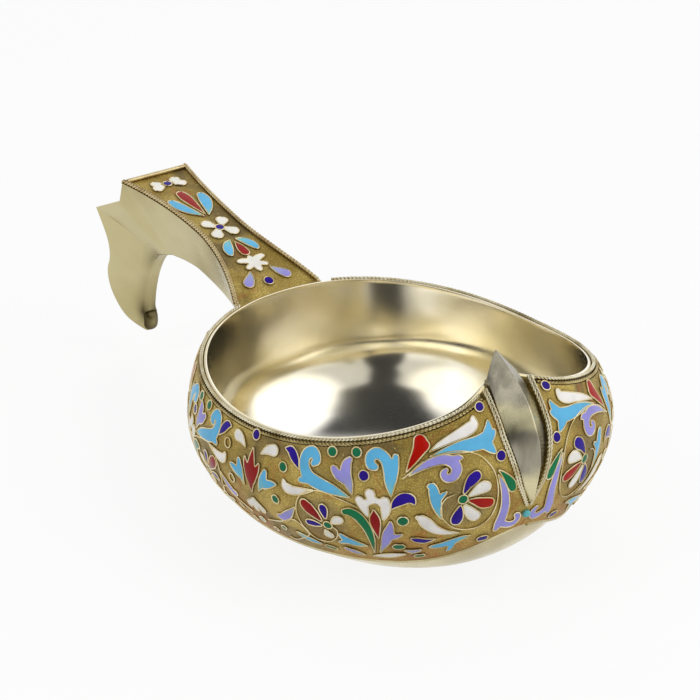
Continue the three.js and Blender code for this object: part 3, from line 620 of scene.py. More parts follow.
def outlines(shapes):
    """The outlines of the union of flat shapes, evenly stepped, with small steps eased away."""
    corners, faces = [], []
    for shape in shapes:
        faces.append(list(range(len(corners), len(corners) + len(shape))))
        corners += [Vector(corner) for corner in shape]
    found = delaunay_2d_cdt(corners, [], faces, 1, JOINED_WITHIN)
    places = np.array([tuple(place) for place in found[0]])
    sides = {(a, b) for face in found[2] for a, b in zip(face, list(face[1:]) + [face[0]])}
    onward = {}
    for a, b in sorted(sides):
        if (b, a) not in sides:
            onward.setdefault(a, []).append(b)
    loops = []
    while onward:
        start = next(iter(onward))
        loop = [start]
        while onward.get(loop[-1]):
            after = onward[loop[-1]].pop()
            if after == start:
                break
            loop.append(after)
        onward = {key: value for key, value in onward.items() if value}
        line = places[loop]
        if len(loop) < 4 or abs(doubled_area(line)) < 2 * LEAST_HOLE:
            continue
        closed = np.vstack([line, line[:1]])
        way = np.concatenate([[0], np.cumsum(np.linalg.norm(np.diff(closed, axis=0), axis=1))])
        count = max(LEAST_OUTLINE_POINTS, int(way[-1] / OUTLINE_STEP))
        spots = np.linspace(0, way[-1], count, endpoint=False)
        even = np.column_stack([np.interp(spots, way, closed[:, axis]) for axis in (0, 1)])
        for _ in range(2):
            even = (np.roll(even, 1, axis=0) + 2 * even + np.roll(even, -1, axis=0)) / 4
        loops.append(even)
    return loops


def within(spots, start, end):
    """How deep each spot lies inside closed outlines, and less than 0 outside them."""
    along = end - start
    share = np.einsum("pek,ek->pe", spots[:, None] - start, along) / np.sum(along ** 2, axis=1)
    nearest = start + np.clip(share, 0, 1)[..., None] * along
    depth = np.linalg.norm(spots[:, None] - nearest, axis=-1).min(axis=1)
    x, y = spots[:, :1], spots[:, 1:]
    crosses = (start[:, 1] > y) != (end[:, 1] > y)
    rise = np.where(along[:, 1] == 0, 1, along[:, 1])
    crosses &= x < start[:, 0] + along[:, 0] * (y - start[:, 1]) / rise
    return np.where(crosses.sum(axis=1) % 2 == 1, depth, -depth)


def dome(count, triangles, fixed):
    """The rise of a soap film blown up over the outline: round, and highest where it is wide."""
    pairs = np.array(sorted({tuple(sorted(pair)) for face in triangles
                             for pair in zip(face, face[1:] + face[:1])}))
    one, other = np.concatenate([pairs, pairs[:, ::-1]]).T
    neighbours = np.maximum(np.bincount(one, minlength=count), 1)
    rise = np.zeros(count)
    for _ in range(DOME_ROUNDS):
        around = np.bincount(one, weights=rise[other], minlength=count) / neighbours
        rise = np.where(fixed, 0, around + DOME_STEEPNESS * FILL_SPACING ** 2 / 4)
    return DOME_MOST * (1 - np.exp(-rise / DOME_MOST))


def flat_cell(blades, surface):
    """One cell: its outlines, and a net over it that rises in a low dome."""
    middle = np.mean([place[:2] for blade in blades for place in blade], axis=0)
    steps = [surface(*(middle + way), 0) - surface(*(middle - way), 0)
             for way in (np.array([0.5, 0]), np.array([0, 0.5]))]
    scale = np.array([np.linalg.norm(step) for step in steps])
    lines = [smooth_line([((x - middle[0]) * scale[0], (y - middle[1]) * scale[1], half)
                          for x, y, half in blade]) for blade in blades]
    loops = outlines([shape for line in lines for shape in blade_shapes(line)])
    start = np.vstack(loops)
    end = np.vstack([np.roll(loop, -1, axis=0) for loop in loops])
    low, high = start.min(axis=0), start.max(axis=0)
    grid = np.array([(x + (row % 2) * FILL_SPACING / 2, y)
                     for row, y in enumerate(np.arange(low[1], high[1], FILL_SPACING * TRIANGLE_ROW))
                     for x in np.arange(low[0], high[0], FILL_SPACING)])
    spots = np.vstack([start, grid[within(grid, start, end) > FILL_MARGIN]])
    sides, first = [], 0
    for loop in loops:
        numbers = range(first, first + len(loop))
        sides += list(zip(numbers, [*numbers[1:], first]))
        first += len(loop)
    found = delaunay_2d_cdt([Vector(spot) for spot in spots], sides, [], 1, FILL_JOINED_WITHIN)
    places = np.array([tuple(place) for place in found[0]])
    triangles = [tuple(face) for face in found[2]]
    kept = within(np.array([places[list(face)].mean(axis=0) for face in triangles]), start, end) > 0
    triangles = [face for face, inside in zip(triangles, kept) if inside]
    used = sorted({spot for face in triangles for spot in face})
    number = {spot: index for index, spot in enumerate(used)}
    triangles = [tuple(number[spot] for spot in face) for face in triangles]
    places = places[used]
    sides = {(a, b) for face in triangles for a, b in zip(face, face[1:] + face[:1])}
    edges = sorted((a, b) for a, b in sides if (b, a) not in sides)
    fixed = np.zeros(len(places), bool)
    fixed[[spot for edge in edges for spot in edge]] = True
    return {"places": middle + places / scale, "rise": dome(len(places), triangles, fixed),
            "root": np.linalg.norm(places - lines[0][0, :2], axis=1),
            "triangles": triangles, "edges": edges, "loops": [middle + loop / scale for loop in loops]}


def band_surface(sign):
    return lambda theta, z, out: on_bowl(sign * np.radians(theta), z, out)


SIDES = {"port": 1, "starboard": -1}
band_drawing = [(name, tone, flat_cell(blades, band_surface(1))) for name, tone, *blades in BAND_CELLS]

# The ground of the band. A sheet of the bowl's own metal between the wires, stippled all
# over with a fine punch so that it looks matt and gilded, and painted dark where the wires
# stand: old polish, and painted shade.
GROUND_INNER_OUT = 0.05
WEDGE_TOP_HALF_WIDTH = 4.0
WEDGE_TAPER_FROM = 32.0
WEDGE_FOOT_HEIGHT = 18.2
WEDGE_TAPER = 1.3
WIRES_MEET_OVER = 5.0
SEAT_GAP = 0.3
HANDLE_ROOT_HALF_WIDTH = 9.8
# How far the old polish and painted shade reach from a wire.
GRIME_AND_SHADE_REACH = 0.45
GROUND_LIFT = 0.45
FLOWER_MIDDLES = [(18, 22), (55.5, 17), (102.5, 17), (140, 22)]
FLOWER_SHADE_REACH = 6.0
GROUND_ROWS = 64
GROUND_COLUMNS = 260
COLUMNS_CROWDED_AHEAD = 1.15
BAND_THICKNESS = 0.5


def wedge_half_width(z):
    below = np.clip((WEDGE_TAPER_FROM - z) / (WEDGE_TAPER_FROM - WEDGE_FOOT_HEIGHT), 0, 1)
    return WEDGE_TOP_HALF_WIDTH * (1 - below ** WEDGE_TAPER)


def wires_apart(z):
    """How far the wires beside the wedge still are from meeting at its foot, from 0 to 1."""
    return np.clip((z - WEDGE_FOOT_HEIGHT) / WIRES_MEET_OVER, 0, 1)


def band_front(z):
    return (wedge_half_width(z) + SEAT_GAP * wires_apart(z)) / bowl_radius(0.0, z)


BAND_BACK = np.pi - math.asin((HANDLE_ROOT_HALF_WIDTH + 2 * SEAT_GAP) / (RIM_HALF_LENGTH + BAND_THICKNESS))


def sheet_body(outer, inner):
    """A closed sheet between two grids of points."""
    rows, columns = outer.shape[:2]
    count = rows * columns
    points = np.vstack([outer.reshape(-1, 3), inner.reshape(-1, 3)])
    faces = grid_faces(rows, columns)
    faces += [tuple(count + corner for corner in reversed(face)) for face in faces]
    edge = list(range(columns))
    edge += [row * columns + columns - 1 for row in range(1, rows)]
    edge += [(rows - 1) * columns + column for column in range(columns - 2, -1, -1)]
    edge += [row * columns for row in range(rows - 2, 0, -1)]
    faces += [(b, a, a + count, b + count) for a, b in zip(edge, edge[1:] + edge[:1])]
    return points, faces


def ground_material():
    """Matt gilding, and over it stains, painted glints of the punch, pits, and dark old polish with painted
    shade along the wires.
    """
    material, tree, shader = bare_material("stippled_ground", Metallic=0.85)
    pricks = put(tree, "ShaderNodeTexVoronoi", {"Vector": object_place(tree), "Scale": 3200.0})
    pits = eased(tree, pricks.outputs["Distance"], 0.1, 0.6)
    clouds = eased(tree, noise(tree, 90.0, 3.0, distortion=0.6), 0.4, 0.6)
    low = times(tree, eased(tree, height_up(tree), 0.012, 0.019, 0.5, 0.0), clouds)
    copper = eased(tree, noise(tree, 210.0, 3.0, distortion=1.2), 0.56, 0.7, 0.0, 0.5)
    thick = eased(tree, noise(tree, 300.0, 3.0), 0.35, 0.65, 0.3, 1.0)
    tone = mixed(tree, eased(tree, noise(tree, 120.0, 4.0, distortion=0.5), 0.35, 0.65),
                 colour("#ae9447"), colour("#d6bc69"))
    for share, stain in (
            (eased(tree, noise(tree, 70.0, 3.0, distortion=0.8), 0.52, 0.66), "#8a774a"),
            (plus(tree, copper, low), "#bd7a3a"),
            (times(tree, painted(tree, "shade"), 0.6), "#8b7d5c"),
            # Painted glints of the punch marks: pale specks across the ground.
            (eased(tree, noise(tree, 1300.0, 2.0), 0.64, 0.74, 0.0, 0.6), "#dcc98a"),
            (times(tree, pits, 0.42), "#5b4a22"),
            # Old polish and painted shade along the wires.
            (times(tree, painted(tree, "grime_and_shade"), thick), "#352a14")):
        tone = mixed(tree, share, tone, colour(stain))
    tree.links.new(tone, shader.inputs["Base Color"])
    tree.links.new(eased(tree, pits, 0.0, 1.0, 0.36, 0.55), shader.inputs["Roughness"])
    relief(tree, shader, minus(tree, noise(tree, 2200.0, 2.0), pits), 0.05, 0.9)
    return material


def nearest_to(spots):
    """A tree that finds the nearest of some spots."""
    tree = KDTree(len(spots))
    for index, spot in enumerate(spots):
        tree.insert(spot, index)
    tree.balance()
    return tree


def paint(piece, name, values):
    """Keeps a value at each point of a piece, for its material to read."""
    piece.data.attributes.new(name, "FLOAT", "POINT").data.foreach_set("value", values)


def paint_grime_and_shade(ground, drawing, surface, out):
    """Marks the ground dark along the wires: old polish, and painted shade where the wires stand."""
    wires = nearest_to([spot for name, tone, cell in drawing for loop in cell["loops"]
                        for spot in surface(*loop.T, out)])
    paint(ground, "grime_and_shade", [max(0.0, 1 - wires.find(vertex.co / MILLIMETRE)[2] / GRIME_AND_SHADE_REACH)
                            for vertex in ground.data.vertices])


def band_ground(side, sign):
    along = (np.linspace(0, 1, GROUND_COLUMNS) ** COLUMNS_CROWDED_AHEAD)[None, :]
    share = np.linspace(0, 1, GROUND_ROWS)[:, None]
    rough = along * BAND_BACK
    rough_z = band_lower(rough) + (band_upper(rough) - band_lower(rough)) * share
    front = np.where(rough_z < WEDGE_FOOT_HEIGHT, 0.0, band_front(rough_z))
    theta = front * (1 - along) + BAND_BACK * along
    z = band_lower(theta) + (band_upper(theta) + GROUND_LIFT - band_lower(theta)) * share
    outer = on_bowl(sign * theta, z, BAND_OUT)
    points, faces = sheet_body(outer, on_bowl(sign * theta, z, GROUND_INNER_OUT))
    ground = new_piece(f"band_ground_{side}", points, faces, stippled_ground)
    # Old polish and painted shade along the wires.
    paint_grime_and_shade(ground, band_drawing, band_surface(sign), BAND_OUT)
    flowers = np.array([on_bowl(sign * np.radians(at), z, BAND_OUT) for at, z in FLOWER_MIDDLES])
    away = np.linalg.norm(points[:, None] - flowers, axis=-1).min(axis=1)
    paint(ground, "shade", np.clip((FLOWER_SHADE_REACH - away) / 2, 0, 1).tolist())
    return seat(ground, "gilt_ground", f"enamel_band_{side}")


stippled_ground = ground_material()
for side, sign in SIDES.items():
    band_ground(side, sign)

# The cell walls and scrolls. Fine gilded wire is bent to the drawing and soldered down on
# its edge, so that each cell has a bright pale outline. Rims and borders have two such wires
# twisted together, so one tree draws both: a plain wire is a rope of one strand.
CELL_WIRE_RADIUS = 0.15
CELL_WIRE_OUT = BAND_OUT + 0.12
CELL_WIRE_STEP = 0.24
WIRE_SIDES = 6
SCROLL_STEPS = 8


def wire_tree():
    """Geometry nodes that draw a path as round wire, of one strand or of more twisted together."""
    tree = bpy.data.node_groups.new("drawn_wire", "GeometryNodeTree")
    face = tree.interface
    face.new_socket("Path", in_out="INPUT", socket_type="NodeSocketGeometry")
    for label, kind, value in (("Strands", "NodeSocketInt", 1), ("Strand Radius", "NodeSocketFloat", 0.0),
                               ("Lay Radius", "NodeSocketFloat", 0.0), ("Lay Length", "NodeSocketFloat", 1.0),
                               ("Step", "NodeSocketFloat", 1.0)):
        socket = face.new_socket(label, in_out="INPUT", socket_type=kind)
        socket.default_value = value
    face.new_socket("Finish", in_out="INPUT", socket_type="NodeSocketMaterial")
    face.new_socket("Wire", in_out="OUTPUT", socket_type="NodeSocketGeometry")
    given = put(tree, "NodeGroupInput").outputs
    curve = put(tree, "GeometryNodeMeshToCurve", {"Mesh": given["Path"]}).outputs[0]
    curve = put(tree, "GeometryNodeResampleCurve", {"Curve": curve, "Length": given["Step"]},
                mode="LENGTH").outputs[0]
    copies = put(tree, "GeometryNodeDuplicateElements",
                 {"Geometry": curve, "Amount": given["Strands"]}, domain="SPLINE")
    length = put(tree, "GeometryNodeSplineParameter").outputs["Length"]
    turns = reckon(tree, "DIVIDE", length, given["Lay Length"])
    share = reckon(tree, "DIVIDE", copies.outputs["Duplicate Index"], given["Strands"])
    angle = times(tree, plus(tree, turns, share), 2 * math.pi)
    normal = put(tree, "GeometryNodeInputNormal").outputs[0]
    tangent = put(tree, "GeometryNodeInputTangent").outputs[0]
    across = put(tree, "ShaderNodeVectorMath", {0: tangent, 1: normal}, operation="CROSS_PRODUCT").outputs[0]
    ways = [put(tree, "ShaderNodeVectorMath", {0: way, "Scale": reckon(tree, turn, angle)},
                operation="SCALE").outputs[0] for way, turn in ((normal, "COSINE"), (across, "SINE"))]
    away = put(tree, "ShaderNodeVectorMath", {0: ways[0], 1: ways[1]}, operation="ADD").outputs[0]
    away = put(tree, "ShaderNodeVectorMath", {0: away, "Scale": given["Lay Radius"]},
               operation="SCALE").outputs[0]
    curve = put(tree, "GeometryNodeSetPosition",
                {"Geometry": copies.outputs["Geometry"], "Offset": away}).outputs[0]
    section = put(tree, "GeometryNodeCurvePrimitiveCircle",
                  {"Resolution": WIRE_SIDES, "Radius": given["Strand Radius"]}).outputs[0]
    body = put(tree, "GeometryNodeCurveToMesh",
               {"Curve": curve, "Profile Curve": section, "Fill Caps": True}).outputs[0]
    body = put(tree, "GeometryNodeSetShadeSmooth", {"Geometry": body}).outputs[0]
    body = put(tree, "GeometryNodeRealizeInstances", {"Geometry": body}).outputs[0]
    body = put(tree, "GeometryNodeSetMaterial", {"Geometry": body, "Material": given["Finish"]}).outputs[0]
    result = put(tree, "NodeGroupOutput")
    tree.links.new(body, result.inputs[0])
    return tree


drawn_wire = wire_tree()


def draw_wires(name, paths, finish, radius, step, strands=1, lay_radius=0.0, lay_length=1.0):
    """One mesh of wires along paths: each is a line of points, and True if it closes."""
    points, edges = [], []
    for line, closed in paths:
        first = len(points)
        points += [tuple(spot) for spot in np.asarray(line) * MILLIMETRE]
        edges += [(i, i + 1) for i in range(first, len(points) - 1)]
        if closed:
            edges.append((len(points) - 1, first))
    mesh = bpy.data.meshes.new(name + "_path")
    mesh.from_pydata(points, edges, [])
    path = bpy.data.objects.new(name + "_path", mesh)
    bpy.context.scene.collection.objects.link(path)
    modifier = path.modifiers.new("drawn_wire", "NODES")
    modifier.node_group = drawn_wire
    values = {"Strands": strands, "Strand Radius": radius * MILLIMETRE,
              "Lay Radius": lay_radius * MILLIMETRE, "Lay Length": lay_length * MILLIMETRE,
              "Step": step * MILLIMETRE, "Finish": finish}
    for socket in drawn_wire.interface.items_tree:
        if socket.in_out == "INPUT" and socket.name in values:
            modifier[socket.identifier] = values[socket.name]
    bpy.context.view_layer.update()
    drawn = path.evaluated_get(bpy.context.evaluated_depsgraph_get())
    piece = bpy.data.objects.new(name, bpy.data.meshes.new_from_object(drawn))
    piece.data.name = name
    path.modifiers.remove(modifier)
    bpy.data.objects.remove(path)
    bpy.context.scene.collection.objects.link(piece)
    return piece


cell_wire = metal("cell_wire", "#e4d6ae", "#cdb678", "#7a6532", 0.24, 0.36, tarnish=0.6,
                  smudge_scale=400.0)
for side, sign in SIDES.items():
    surface = band_surface(sign)
    paths = [(surface(*loop.T, CELL_WIRE_OUT), True)
             for name, tone, cell in band_drawing for loop in cell["loops"]]
    paths += [(surface(*smooth_line(scroll, SCROLL_STEPS).T, CELL_WIRE_OUT), False)
              for scroll in BAND_SCROLLS]
    walls = draw_wires(f"cell_walls_{side}", paths, cell_wire, CELL_WIRE_RADIUS, CELL_WIRE_STEP)
    seat(walls, "twisted_wire")

# The enamels. Wet ground glass is packed into the cells, fired, and rubbed level with the
# wires: glossy, a little domed, paler or greener towards a leaf's root, with the odd pit.
ENAMEL_EDGE_OUT = 0.17
ENAMEL_SUNK = 0.05
CLOUD_DARKER = 0.16
ROOT_REACH = 3.5
ROOT_TINT = 0.75


def darker(text, share):
    """A colour written as on the web, taken part of the way to black."""
    return (*(level * (1 - share) for level in colour(text)[:3]), 1.0)


def enamel_material(name, main, root, pits=0.0):
    material, tree, shader = bare_material(name, Metallic=0.0, Specular_IOR_Level=0.12)
    cloud = noise(tree, 260.0, 3.0, distortion=0.4)
    tone = mixed(tree, eased(tree, cloud, 0.3, 0.75), colour(main), darker(main, CLOUD_DARKER))
    tone = mixed(tree, painted(tree, "near_root"), tone, colour(root))
    specks = put(tree, "ShaderNodeTexVoronoi", {"Vector": object_place(tree), "Scale": 900.0})
    holes = eased(tree, specks.outputs["Distance"], 0.03, 0.1, pits, 0.0)
    rare = eased(tree, noise(tree, 330.0, 1.0), 0.58, 0.62)
    holes = times(tree, holes, rare)
    tone = mixed(tree, holes, tone, colour("#4d4636"))
    tree.links.new(tone, shader.inputs["Base Color"])
    tree.links.new(eased(tree, cloud, 0.3, 0.7, 0.1, 0.18), shader.inputs["Roughness"])
    height = minus(tree, noise(tree, 380.0, 2.0), holes)
    relief(tree, shader, height, 0.03, 0.5)
    return material


ENAMELS = {
    "turquoise": ("#62b5e0", "#8cc4a8", 0.5, "turquoise_enamel"),
    "lavender": ("#9a95dc", "#9cb0b0", 0.6, "lavender_enamel"),
    "cobalt": ("#280a90", "#1f0870", 0.3, "cobalt_enamel"),
    "white": ("#f0ece7", "#dfe0d2", 1.0, "white_enamel"),
    "red": ("#a8150b", "#8c100a", 0.5, "red_enamel"),
    "dark_red": ("#94110c", "#780d0a", 0.5, "red_enamel"),
    "green": ("#0d7548", "#126446", 0.4, None),
}
enamel = {name: enamel_material(f"{name}_enamel", main, root, pits)
          for name, (main, root, pits, slot) in ENAMELS.items()}


def fill_cells(name, cells, surface, base_out, finish):
    """One mesh of enamel in several cells."""
    points, faces, near = [], [], []
    for cell in cells:
        count = len(cell["places"])
        top = surface(*cell["places"].T, base_out + ENAMEL_EDGE_OUT + cell["rise"])
        bottom = surface(*cell["places"].T, base_out - ENAMEL_SUNK)
        body = np.vstack([top, bottom])
        solid = cell["triangles"] + [tuple(count + spot for spot in reversed(face))
                                     for face in cell["triangles"]]
        solid += [(b, a, count + a, count + b) for a, b in cell["edges"]]
        faces += [tuple(len(points) + spot for spot in face) for face in facing_out(body, solid)]
        points += body.tolist()
        fade = np.clip(1 - cell["root"] / ROOT_REACH, 0, 1) * ROOT_TINT
        near += list(fade) * 2
    piece = new_piece(name, points, faces, finish, smooth_angle=50)
    paint(piece, "near_root", near)
    return piece


STANDS_FOR = {name: name for name in (
    "leaf_white_fore", "leaf_turquoise_fore", "leaf_red_fore", "rosette_fore", "leaf_turquoise_low",
    "trefoil_white", "rosette_mid", "scroll_turquoise", "tulip_red")}
STANDS_FOR["leaf_split_behind"] = "leaf_lavender_aft"
for side, sign in SIDES.items():
    batches = {}
    for name, tone, cell in band_drawing:
        if name in EMPTY_CELLS:
            continue
        label = name if name in STANDS_FOR else f"small_cells_{tone}"
        batches.setdefault((label, tone), []).append(cell)
    done = set()
    for (label, tone), cells in batches.items():
        name = f"{label}_{side}_enamel" if label not in done else f"{label}_{side}_{tone}_enamel"
        piece = fill_cells(name, cells, band_surface(sign), BAND_OUT, enamel[tone])
        first_of_it = label in STANDS_FOR and label not in done
        nodes = [f"{STANDS_FOR[label]}_{side}"] if first_of_it else []
        seat(piece, ENAMELS[tone][3], *nodes)
        done.add(label)

# The twisted and plain wires round the bowl. Two drawn wires are twisted tight and soldered
# in two rows under the rim and down both sides of the prow. A plain wire ends the band below.
PROW_ROPE_RADIUS = 0.38
BORDER_WIRE_RADIUS = 0.4
BORDER_OUT = 0.6
ROPE_LAY = 1.5
ROPE_STEP = 0.17
STRAND_SHARE = 0.6
ROPE_BED_OUT = 0.2
UPPER_ROPE_OUT = 0.46
LOWER_ROPE_OUT = 0.58
ROPE_SUNK = 0.04
ROPE_ROWS_APART = 0.68
PROW_STRIP_ROPE = 0.3
PROW_ROWS_APART = 1.9
PROW_FOOT_INSET = 0.4
PROW_ROPE_SEAT = 0.8
ROPE_POINTS = 220
PROW_ROPE_POINTS = 70
BED_START_ANGLE = 0.1
BED_ROWS = 6
BORDER_STEP = 0.6
BORDER_BELOW_BAND = 0.8


def twisted(name, path, radius, handed, finish):
    return draw_wires(name, [(path, False)], finish, radius * STRAND_SHARE, ROPE_STEP, strands=2,
                      lay_radius=radius * (1 - STRAND_SHARE), lay_length=handed * ROPE_LAY)


def round_line(sign, height_of, out, radius):
    top = height_of(0.0)
    start = band_front(top) + (PROW_ROPE_RADIUS + radius) * 2 / bowl_radius(0.0, top)
    theta = np.linspace(start, BAND_BACK, ROPE_POINTS)
    return on_bowl(sign * theta, height_of(theta), out)


def prow_line(sign, row):
    foot = WEDGE_FOOT_HEIGHT + (1 - row) * PROW_ROPE_RADIUS
    z = np.linspace(foot, rim_height(0.0) - 4 * RIM_ROPE_RADIUS, PROW_ROPE_POINTS)
    beside = SEAT_GAP + PROW_STRIP_ROPE * (1 + row * PROW_ROWS_APART)
    together = PROW_STRIP_ROPE * (PROW_FOOT_INSET + row)
    across = wedge_half_width(z) + together + (beside - together) * wires_apart(z)
    return on_bowl(sign * across / bowl_radius(0.0, z), z,
                   BAND_OUT + PROW_STRIP_ROPE * PROW_ROPE_SEAT)


def upper_rope_height(theta):
    return rim_height(theta) - ROPE_SUNK - RIM_ROPE_RADIUS


def lower_rope_height(theta):
    return upper_rope_height(theta) - ROPE_ROWS_APART


def border_height(theta):
    return band_lower(theta) - BORDER_WIRE_RADIUS * BORDER_BELOW_BAND


def rope_bed(side, sign):
    """The flat strip under the rim that both rows of twisted wire are soldered to."""
    theta = np.linspace(BED_START_ANGLE, BAND_BACK, ROPE_POINTS)[None, :]
    share = np.linspace(0, 1, BED_ROWS)[:, None]
    z = band_upper(theta) + (upper_rope_height(theta) - band_upper(theta)) * share
    points, faces = sheet_body(on_bowl(sign * theta, z, ROPE_BED_OUT),
                               on_bowl(sign * theta, z, GROUND_INNER_OUT))
    return new_piece(f"rope_bed_{side}", points, faces, dull_gilt)


rope_gilt = metal("twisted_wire_gilt", "#ddd5ba", "#c8ba90", "#6f5d33", 0.22, 0.34, tarnish=0.7,
                  smudge_scale=300.0)
low_rope_gilt = metal("lower_wire_gilt", "#b9a877", "#9c8853", "#54431f", 0.26, 0.38, tarnish=0.8,
                      smudge_scale=300.0)
plain_gilt = metal("plain_wire_gilt", "#d8cda4", "#c2b17e", "#7a6a3c", 0.2, 0.3, tarnish=0.5,
                   smudge_scale=200.0)
dull_gilt = metal("solder_bed_gilt", "#8f8052", "#75663a", "#40341a", 0.4, 0.55, tarnish=0.8,
                  smudge_scale=200.0)
for side, sign in SIDES.items():
    seat(rope_bed(side, sign), "gilt_silver")
    for name, height_of, row_out, handed, finish in (
            ("rim_rope", upper_rope_height, UPPER_ROPE_OUT, 1, rope_gilt),
            ("lower_rope", lower_rope_height, LOWER_ROPE_OUT, -1, low_rope_gilt)):
        line = round_line(sign, height_of, row_out, RIM_ROPE_RADIUS)
        seat(twisted(f"{name}_{side}_twist", line, RIM_ROPE_RADIUS, sign * handed, finish),
             "twisted_wire", f"{name}_{side}")
    line = round_line(sign, border_height, BORDER_OUT, BORDER_WIRE_RADIUS)
    border = draw_wires(f"border_wire_{side}_drawn", [(line, False)], plain_gilt,
                        BORDER_WIRE_RADIUS, BORDER_STEP)
    seat(border, "twisted_wire", f"border_wire_{side}")
    for row, (name, handed) in enumerate((("prow_rope_inner", 1), ("prow_rope_outer", -1))):
        line = prow_line(sign, row)
        seat(twisted(f"{name}_{side}_twist", line, PROW_STRIP_ROPE, sign * handed, rope_gilt),
             "twisted_wire", f"{name}_{side}")

# The prow wedge. A keel of bare silver filed from the solid, with two nearly flat faces that
# meet in a sharp ridge. It rises over the rim to a peak, and years of handling marked it.
WEDGE_PEAK_HEIGHT = 44.1
WEDGE_PEAK_SETBACK = 0.8
WEDGE_RIDGE_PROUD = 2.2
RIDGE_SHARES = [(0, 0), (0.127, 0.424), (0.239, 0.682), (0.359, 0.841), (0.486, 0.962),
                (0.587, 1), (0.699, 0.992), (0.873, 0.917), (1, 0.83)]
BEAD_RADIUS = 1.1
WEDGE_ROWS = 90
FACE_COLUMNS = 8
FACE_HOLLOW = 0.12
NARROWER_FROM = 35.0
TOP_NARROWING = 0.2
RIDGE_FLAT = 0.09
WEDGE_SUNK = 0.2
YELLOW_BELOW = (0.0275, 0.0245)
YELLOW_BELT_FROM = (0.032, 0.0345)
YELLOW_BELT_TO = (0.0385, 0.0365)


def spline_at(points, shares):
    """A smooth curve through points, at shares of its length from 0 to 1."""
    points = np.asarray(points, float)
    ends = np.vstack([points[:1], points, points[-1:], points[-1:]])
    place = np.asarray(shares, float) * (len(points) - 1)
    first = np.minimum(place.astype(int), len(points) - 1)
    t = (place - first)[:, None]
    a, b, c, d = (ends[first + step] for step in range(4))
    return 0.5 * (2 * b + (c - a) * t + (2 * a - 5 * b + 4 * c - d) * t ** 2
                  + (3 * b - a - 3 * c + d) * t ** 3)


def wedge_rings():
    """Half outlines mirrored: ridge, hollowed face, foot on the bowl, and a back sunk in it."""
    rim = rim_height(0.0)
    belly = bowl_radius(0.0, BELLY_HEIGHT[0]) + BAND_OUT + WEDGE_RIDGE_PROUD
    peak = bowl_radius(0.0, rim) - WEDGE_PEAK_SETBACK
    last = 1 - BEAD_RADIUS / (WEDGE_PEAK_HEIGHT - WEDGE_FOOT_HEIGHT)
    shares = np.linspace(0, last, WEDGE_ROWS)
    crest = spline_at([(peak + (belly - peak) * out, WEDGE_PEAK_HEIGHT
                        + (WEDGE_FOOT_HEIGHT - WEDGE_PEAK_HEIGHT) * down)
                       for down, out in RIDGE_SHARES], shares)
    edge_z = rim - SEAT_GAP + (WEDGE_FOOT_HEIGHT - rim + SEAT_GAP) * shares
    rise = np.clip((edge_z - NARROWER_FROM) / (rim - NARROWER_FROM), 0, 1)
    angle = wedge_half_width(edge_z) * (1 - TOP_NARROWING * rise) / bowl_radius(0.0, edge_z)
    outer = on_bowl(angle, edge_z, BAND_OUT)
    inner = on_bowl(angle, edge_z, -WEDGE_SUNK)
    middle = on_bowl(0.0, edge_z, -WEDGE_SUNK)
    ridge = np.stack([crest[:, 0], np.full(WEDGE_ROWS, RIDGE_FLAT), crest[:, 1]], axis=-1)
    columns = []
    for share in np.linspace(0, 1, FACE_COLUMNS):
        place = ridge * (1 - share) + outer * share
        place[:, 0] -= FACE_HOLLOW * 4 * share * (1 - share)
        columns.append(place)
    half = columns + [inner]
    mirror = [place * (1, -1, 1) for place in reversed(half)]
    return np.stack(half + [middle] + mirror, axis=1)


def wedge_material():
    material, tree, shader = bare_material("bare_silver", Metallic=1.0)
    marks = put(tree, "ShaderNodeGroup", node_tree=hand_marks)
    marks.inputs["Smudge Scale"].default_value = 160.0
    marks.inputs["Tarnish"].default_value = 0.7
    wander = times(tree, minus(tree, noise(tree, 140.0, 3.0), 0.5), 0.006)
    height = plus(tree, height_up(tree), wander)
    # Pale yellow belts across the faces: one from the foot to about 26 mm up, one from about 33 to 37.5 mm,
    # with wandering edges.
    belt = times(tree, eased(tree, height, *YELLOW_BELT_FROM), eased(tree, height, *YELLOW_BELT_TO))
    yellow_belts = reckon(tree, "MAXIMUM", eased(tree, height, *YELLOW_BELOW), belt)
    streaks = noise(tree, 50.0, 4.0, (6, 6, 1), distortion=0.3)
    tone = mixed(tree, eased(tree, streaks, 0.35, 0.7), colour("#a39d8b"), colour("#7f7a6a"))
    tone = mixed(tree, times(tree, yellow_belts, 0.85), tone, colour("#ddd4aa"))
    tone = mixed(tree, times(tree, marks.outputs["Tarnish"], 0.4), tone, colour("#3f3b34"))
    tone = mixed(tree, times(tree, marks.outputs["Scratches"], 0.35), tone, colour("#d9d6cc"))
    tree.links.new(tone, shader.inputs["Base Color"])
    tree.links.new(eased(tree, streaks, 0.3, 0.75, 0.22, 0.34), shader.inputs["Roughness"])
    relief(tree, shader, times(tree, marks.outputs["Scratches"], -1.0), 0.012)
    return material


bare_silver = wedge_material()
wedge = new_piece("wedge", *lofted(wedge_rings(), fan_end=False), bare_silver, smooth_angle=25)
seat(wedge, "silver", "prow_wedge")

# The bead. A drop of turquoise enamel, melted round, closes the V under the wedge, where the
# twisted wires from both sides meet.
BEAD_DEPTH = 0.6
BEAD_HEIGHT = 0.8
BEAD_DROP_RADIUS = 0.85
BEAD_PROUD = 0.7
BEAD_BELOW_FOOT = 1.6
BEAD_SIDES = 40
BEAD_ROWS = 24


